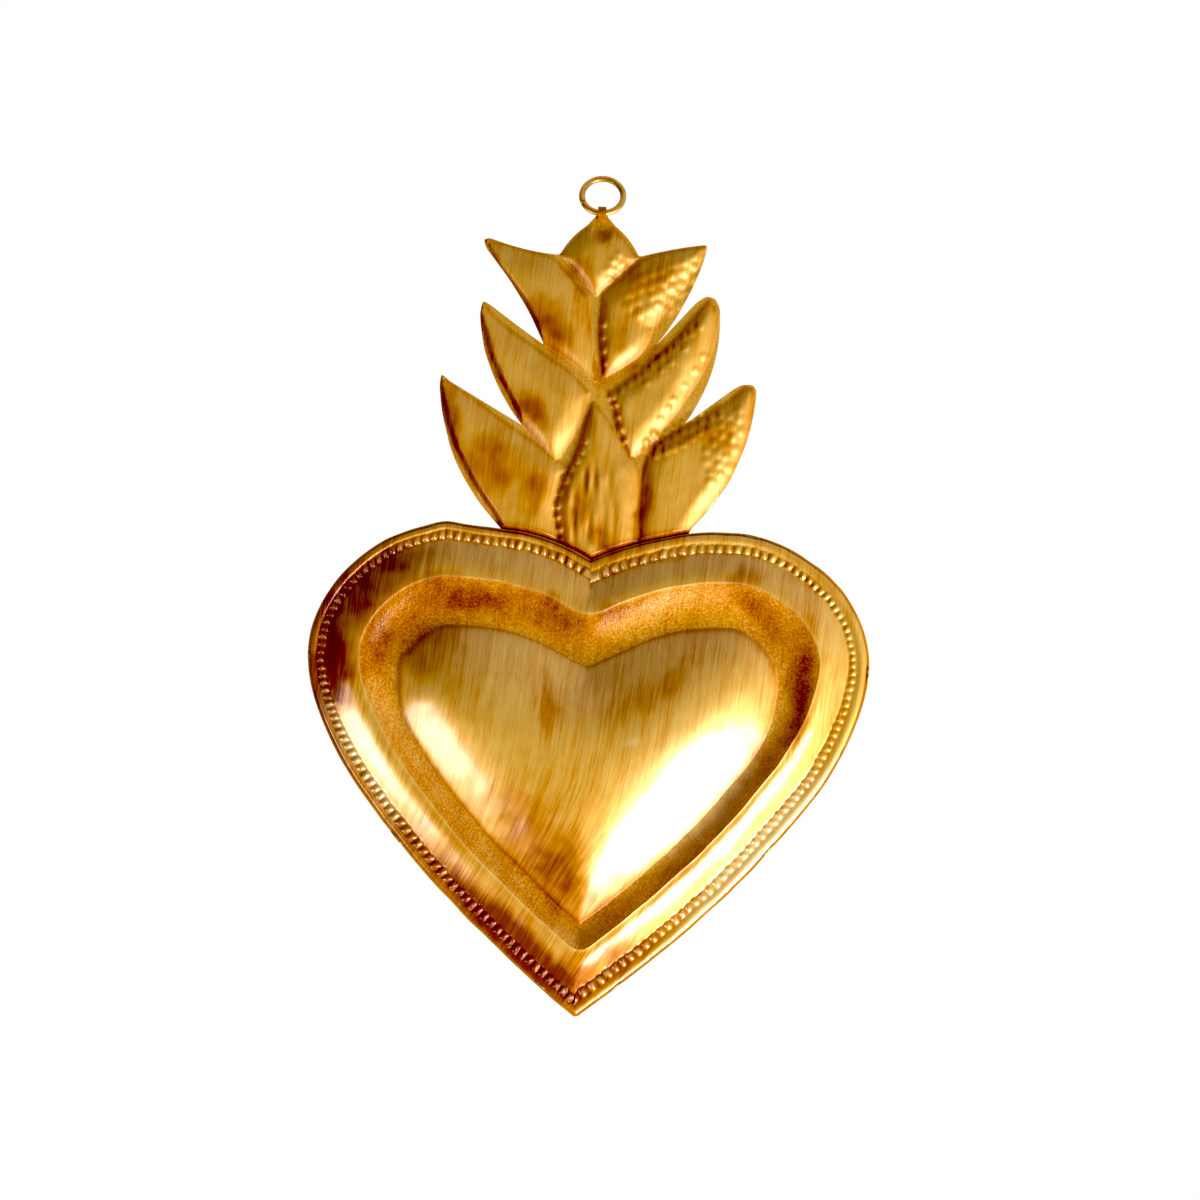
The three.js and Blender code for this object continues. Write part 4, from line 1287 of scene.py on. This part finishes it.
TAN = (0.77, 0.485, 0.12)
GOLD = (0.65, 0.34, 0.062)
AMBER = (0.51, 0.2, 0.012)
BROWN = (0.33, 0.1, 0.002)
DARK = (0.17, 0.026, 0.0005)
# Pale colour for wear and for the painted highlights
WORN_AND_HIGHLIGHT = (0.86, 0.65, 0.3)
GLAZE_AND_SHADE_COLOURS = ((0.0, TAN), (0.28, GOLD), (0.5, AMBER), (0.75, BROWN), (1.0, DARK))
WIRE_COLOURS = ((0.3, (0.82, 0.5, 0.17)), (0.55, (0.7, 0.38, 0.1)), (0.8, (0.42, 0.2, 0.04)))
SOLDER_COLOURS = ((0.3, (0.12, 0.05, 0.012)), (0.5, (0.42, 0.24, 0.07)), (0.7, (0.6, 0.42, 0.18)))
FLOOR_COLOURS = ((0.3, (0.80, 0.80, 0.79)), (0.7, (0.84, 0.84, 0.83)))
NOISE_ROUGHNESS = 0.55

# Brush strokes: changes per millimetre across and along them, detail; then how much each layer counts
STREAKS = (0.9, 0.06)
FINE = (4.2, 0.12)
THIN = (2.2, 0.05, 4.0)
SCRAPED = (0.4, 0.1, 8.0)
STREAKS_GAIN = 0.35
FINE_GAIN = 0.8
THIN_GAIN = 0.5
SCRAPED_GAIN = 1.5
SCRAPED_MOST = 0.05

# Blotches and specks in changes per millimetre, and how glaze with its painted shade, wear with its
# painted highlights and grain change paint and lacquer
BLOTCH = (0.16, 0.16, 0.13)
SPECK = (2.6, 2.6, 2.6)
BLOTCH_GAIN = 0.35
GRAIN_HIDES = 0.6
WEAR_AND_HIGHLIGHT_GAIN = 0.8
METAL_CLEAN = 0.5
METAL_LOSS = 0.3
ROUGH_GAIN = 0.12
COAT_CLEAN = 1.25
COAT_LOSS = 0.8
PAINT_IOR = 1.15
FINE_RELIEF = 0.35
SPECK_RELIEF = 0.8


def gilt_material(name, base_glaze=0.0, stroke_gain=1.0, shine=0.48, coat_ior=1.62, coat_roughness=0.22):
    """Gold paint under brushed brown glaze with painted shade and painted highlights, and a clear lacquer
    that is duller where glaze and painted shade are thick.
    """
    n = Nodes(bpy.data.materials.new(name))
    fine = n.brushed(*FINE)
    speck = n.noise(SPECK, detail=2.0)
    blotch = n.noise(BLOTCH, detail=4.0, distortion=0.6)
    grain = n.attribute("grain")
    streaks = n.centred(n.brushed(*STREAKS), STREAKS_GAIN)
    thin = n.centred(n.brushed(*THIN), THIN_GAIN)
    scraped = n.centred(n.brushed(*SCRAPED), SCRAPED_GAIN)
    scraped = n.maths("MAXIMUM", n.maths("MINIMUM", scraped, SCRAPED_MOST), -SCRAPED_MOST)
    strokes = n.added(streaks, n.centred(fine, FINE_GAIN), thin, scraped)
    hidden = n.maths("MULTIPLY", grain, GRAIN_HIDES * stroke_gain)
    strokes = n.maths("MULTIPLY", strokes, n.maths("SUBTRACT", stroke_gain, hidden))
    glaze_and_shade = n.added(n.attribute("glaze_and_shade"), base_glaze, strokes, n.centred(blotch, BLOTCH_GAIN))
    glaze_and_shade = n.maths("ADD", glaze_and_shade, n.maths("MULTIPLY", n.centred(speck, 1.0), grain), clamp=True)
    # Colour from glaze and painted shade
    colour = n.ramp(glaze_and_shade, GLAZE_AND_SHADE_COLOURS)
    # Paler where there is wear or a painted highlight
    colour = n.mix(n.maths("MULTIPLY", n.attribute("wear_and_highlight"), WEAR_AND_HIGHLIGHT_GAIN), colour, WORN_AND_HIGHLIGHT)
    metal = n.maths("SUBTRACT", METAL_CLEAN, n.maths("MULTIPLY", glaze_and_shade, METAL_LOSS))
    rough = n.added(shine, n.centred(fine, ROUGH_GAIN), n.maths("MULTIPLY", grain, ROUGH_GAIN))
    lost = n.maths("MULTIPLY", n.attribute("glaze_and_shade"), COAT_LOSS)
    coat = n.maths("SUBTRACT", COAT_CLEAN, lost, clamp=True)
    specks = n.maths("MULTIPLY", n.centred(speck, SPECK_RELIEF), grain)
    normal = n.bump(n.added(n.centred(fine, FINE_RELIEF), specks), strength=0.5, depth=0.1)
    n.paint(Base_Color=colour, Metallic=metal, Roughness=rough, IOR=PAINT_IOR, Normal=normal)
    return n.paint(Coat_Weight=coat, Coat_Roughness=coat_roughness, Coat_IOR=coat_ior, Coat_Normal=normal)


def wire_material():
    """Satin brass wire, tarnished in places."""
    n = Nodes(bpy.data.materials.new("tarnished_wire"))
    colour = n.ramp(n.noise((0.5, 0.5, 0.5), detail=4.0), WIRE_COLOURS)
    marks = n.noise((4.0, 4.0, 4.0), detail=2.0)
    rough = n.maths("ADD", 0.48, n.centred(marks, gain=0.2))
    normal = n.bump(marks, strength=0.15, depth=0.03)
    return n.paint(Base_Color=colour, Metallic=1.0, Roughness=rough, Normal=normal)


def solder_material():
    """Rough solder that was gilded over."""
    n = Nodes(bpy.data.materials.new("gilded_solder"))
    lumps = n.noise((1.2, 1.2, 1.2), detail=4.0)
    colour = n.ramp(lumps, SOLDER_COLOURS)
    rough = n.maths("ADD", 0.42, n.centred(lumps, gain=0.25))
    normal = n.bump(lumps, strength=0.6, depth=0.1)
    return n.paint(Base_Color=colour, Metallic=0.85, Roughness=rough, Normal=normal)


def floor_material():
    """Pale floor with a faint mottle."""
    n = Nodes(bpy.data.materials.new("pale_floor"))
    mottle = n.noise((0.01, 0.01, 0.01), detail=2.0)
    return n.paint(Base_Color=n.ramp(mottle, FLOOR_COLOURS), Roughness=0.8)


# Stage, in metres


PHOTO_WIDTH_M = 0.234
CAMERA_DISTANCE = 1.2
SENSOR = 36.0
PHOTO_CENTRE = Vector((2.23, -6.0, -79.14)) / MM
ROLL = math.radians(-2.0)
LIT_CENTRE = Vector((0.4, -8.0, -112.0)) / MM
FLOOR_Z = -0.7
FLOOR_RADIUS = 1.2
BLACK_POINT = 0.042
ROOM_LEVEL = 0.325
ROOM_GRADIENT = (0.32, 0.22, 0.5)
WHITE = (1.0, 1.0, 1.0, 1.0)

# Lights: name, direction from the lit middle, distance, side of the square and power
LIGHTS = (
    ("key_lower_right", (0.64, -0.50, -0.58), 0.4, 0.22, 3.2),
    ("lower_left", (-0.82, -0.36, -0.45), 0.4, 0.14, 0.72),
)


def make_lights():
    """Square soft lights, aimed at the heart."""
    for name, direction, distance, side, energy in LIGHTS:
        data = bpy.data.lights.new(name, "AREA")
        data.shape = "RECTANGLE"
        data.size = data.size_y = side
        data.energy = energy
        light = bpy.data.objects.new(name, data)
        towards = Vector(direction).normalized()
        light.location = LIT_CENTRE + towards * distance
        light.rotation_euler = (LIT_CENTRE - light.location).to_track_quat("-Z", "Y").to_euler()
        light.visible_camera = False
        bpy.context.scene.collection.objects.link(light)


def make_camera():
    """A camera in front of the heart, rolled as the photograph is."""
    data = bpy.data.cameras.new("camera")
    data.sensor_width = SENSOR
    data.lens = SENSOR * CAMERA_DISTANCE / PHOTO_WIDTH_M
    data.clip_start = 0.01
    data.clip_end = 20.0
    camera = bpy.data.objects.new("camera", data)
    bpy.context.scene.collection.objects.link(camera)
    camera.matrix_world = (
        Matrix.Translation(PHOTO_CENTRE - Vector((0, CAMERA_DISTANCE, 0)))
        @ Matrix.Rotation(ROLL, 4, "Y") @ Matrix.Rotation(math.radians(90), 4, "X")
    )
    bpy.context.scene.camera = camera


def make_world():
    """A room that the camera sees as plain white and that lights the object unevenly."""
    world = bpy.data.worlds.new("white_room")
    bpy.context.scene.world = world
    n = Nodes(world)
    n.tree.nodes.clear()
    towards = n.add("ShaderNodeVectorMath", operation="DOT_PRODUCT")
    n.put(n.add("ShaderNodeTexCoord").outputs["Generated"], towards.inputs[0])
    n.put(ROOM_GRADIENT, towards.inputs[1])
    level = n.maths("ADD", towards.outputs["Value"], ROOM_LEVEL, clamp=True)
    lit = n.fill(n.add("ShaderNodeBackground"), Color=WHITE, Strength=level)
    seen = n.fill(n.add("ShaderNodeBackground"), Color=WHITE, Strength=1.0)
    mix = n.fill(n.add("ShaderNodeMixShader"), Fac=n.add("ShaderNodeLightPath").outputs["Is Camera Ray"])
    n.put(lit.outputs[0], mix.inputs[1])
    n.put(seen.outputs[0], mix.inputs[2])
    n.fill(n.add("ShaderNodeOutputWorld"), Surface=mix.outputs[0])


def make_floor():
    bpy.ops.mesh.primitive_circle_add(
        vertices=96, radius=FLOOR_RADIUS, fill_type="NGON", location=(0, 0, FLOOR_Z)
    )
    floor = bpy.context.object
    floor.name = "floor"
    floor.data.materials.append(floor_material())


def set_tones():
    """Plain tones with a slightly lowered black point, as in the studio photograph."""
    settings = bpy.context.scene.view_settings
    settings.view_transform = "Standard"
    settings.use_curve_mapping = True
    settings.curve_mapping.black_level = (BLACK_POINT, BLACK_POINT, BLACK_POINT)
    settings.curve_mapping.update()


def build():
    gilt = gilt_material("gilt_heart")
    closing = gilt_material("closing_sheet", base_glaze=0.1, stroke_gain=0.45, shine=0.5)
    heart_front().data.materials.append(gilt)
    heart_back().data.materials.append(closing)
    crown = crown_sheet()
    leaves = gilt_material("gilt_leaves", stroke_gain=0.7, shine=0.55, coat_ior=1.4, coat_roughness=0.36)
    crown.data.materials.append(leaves)
    hanging_ring().data.materials.append(wire_material())
    solder = solder_material()
    for bead in solder_beads():
        bead.data.materials.append(solder)
    make_floor()
    make_world()
    make_lights()
    make_camera()
    set_tones()


build()
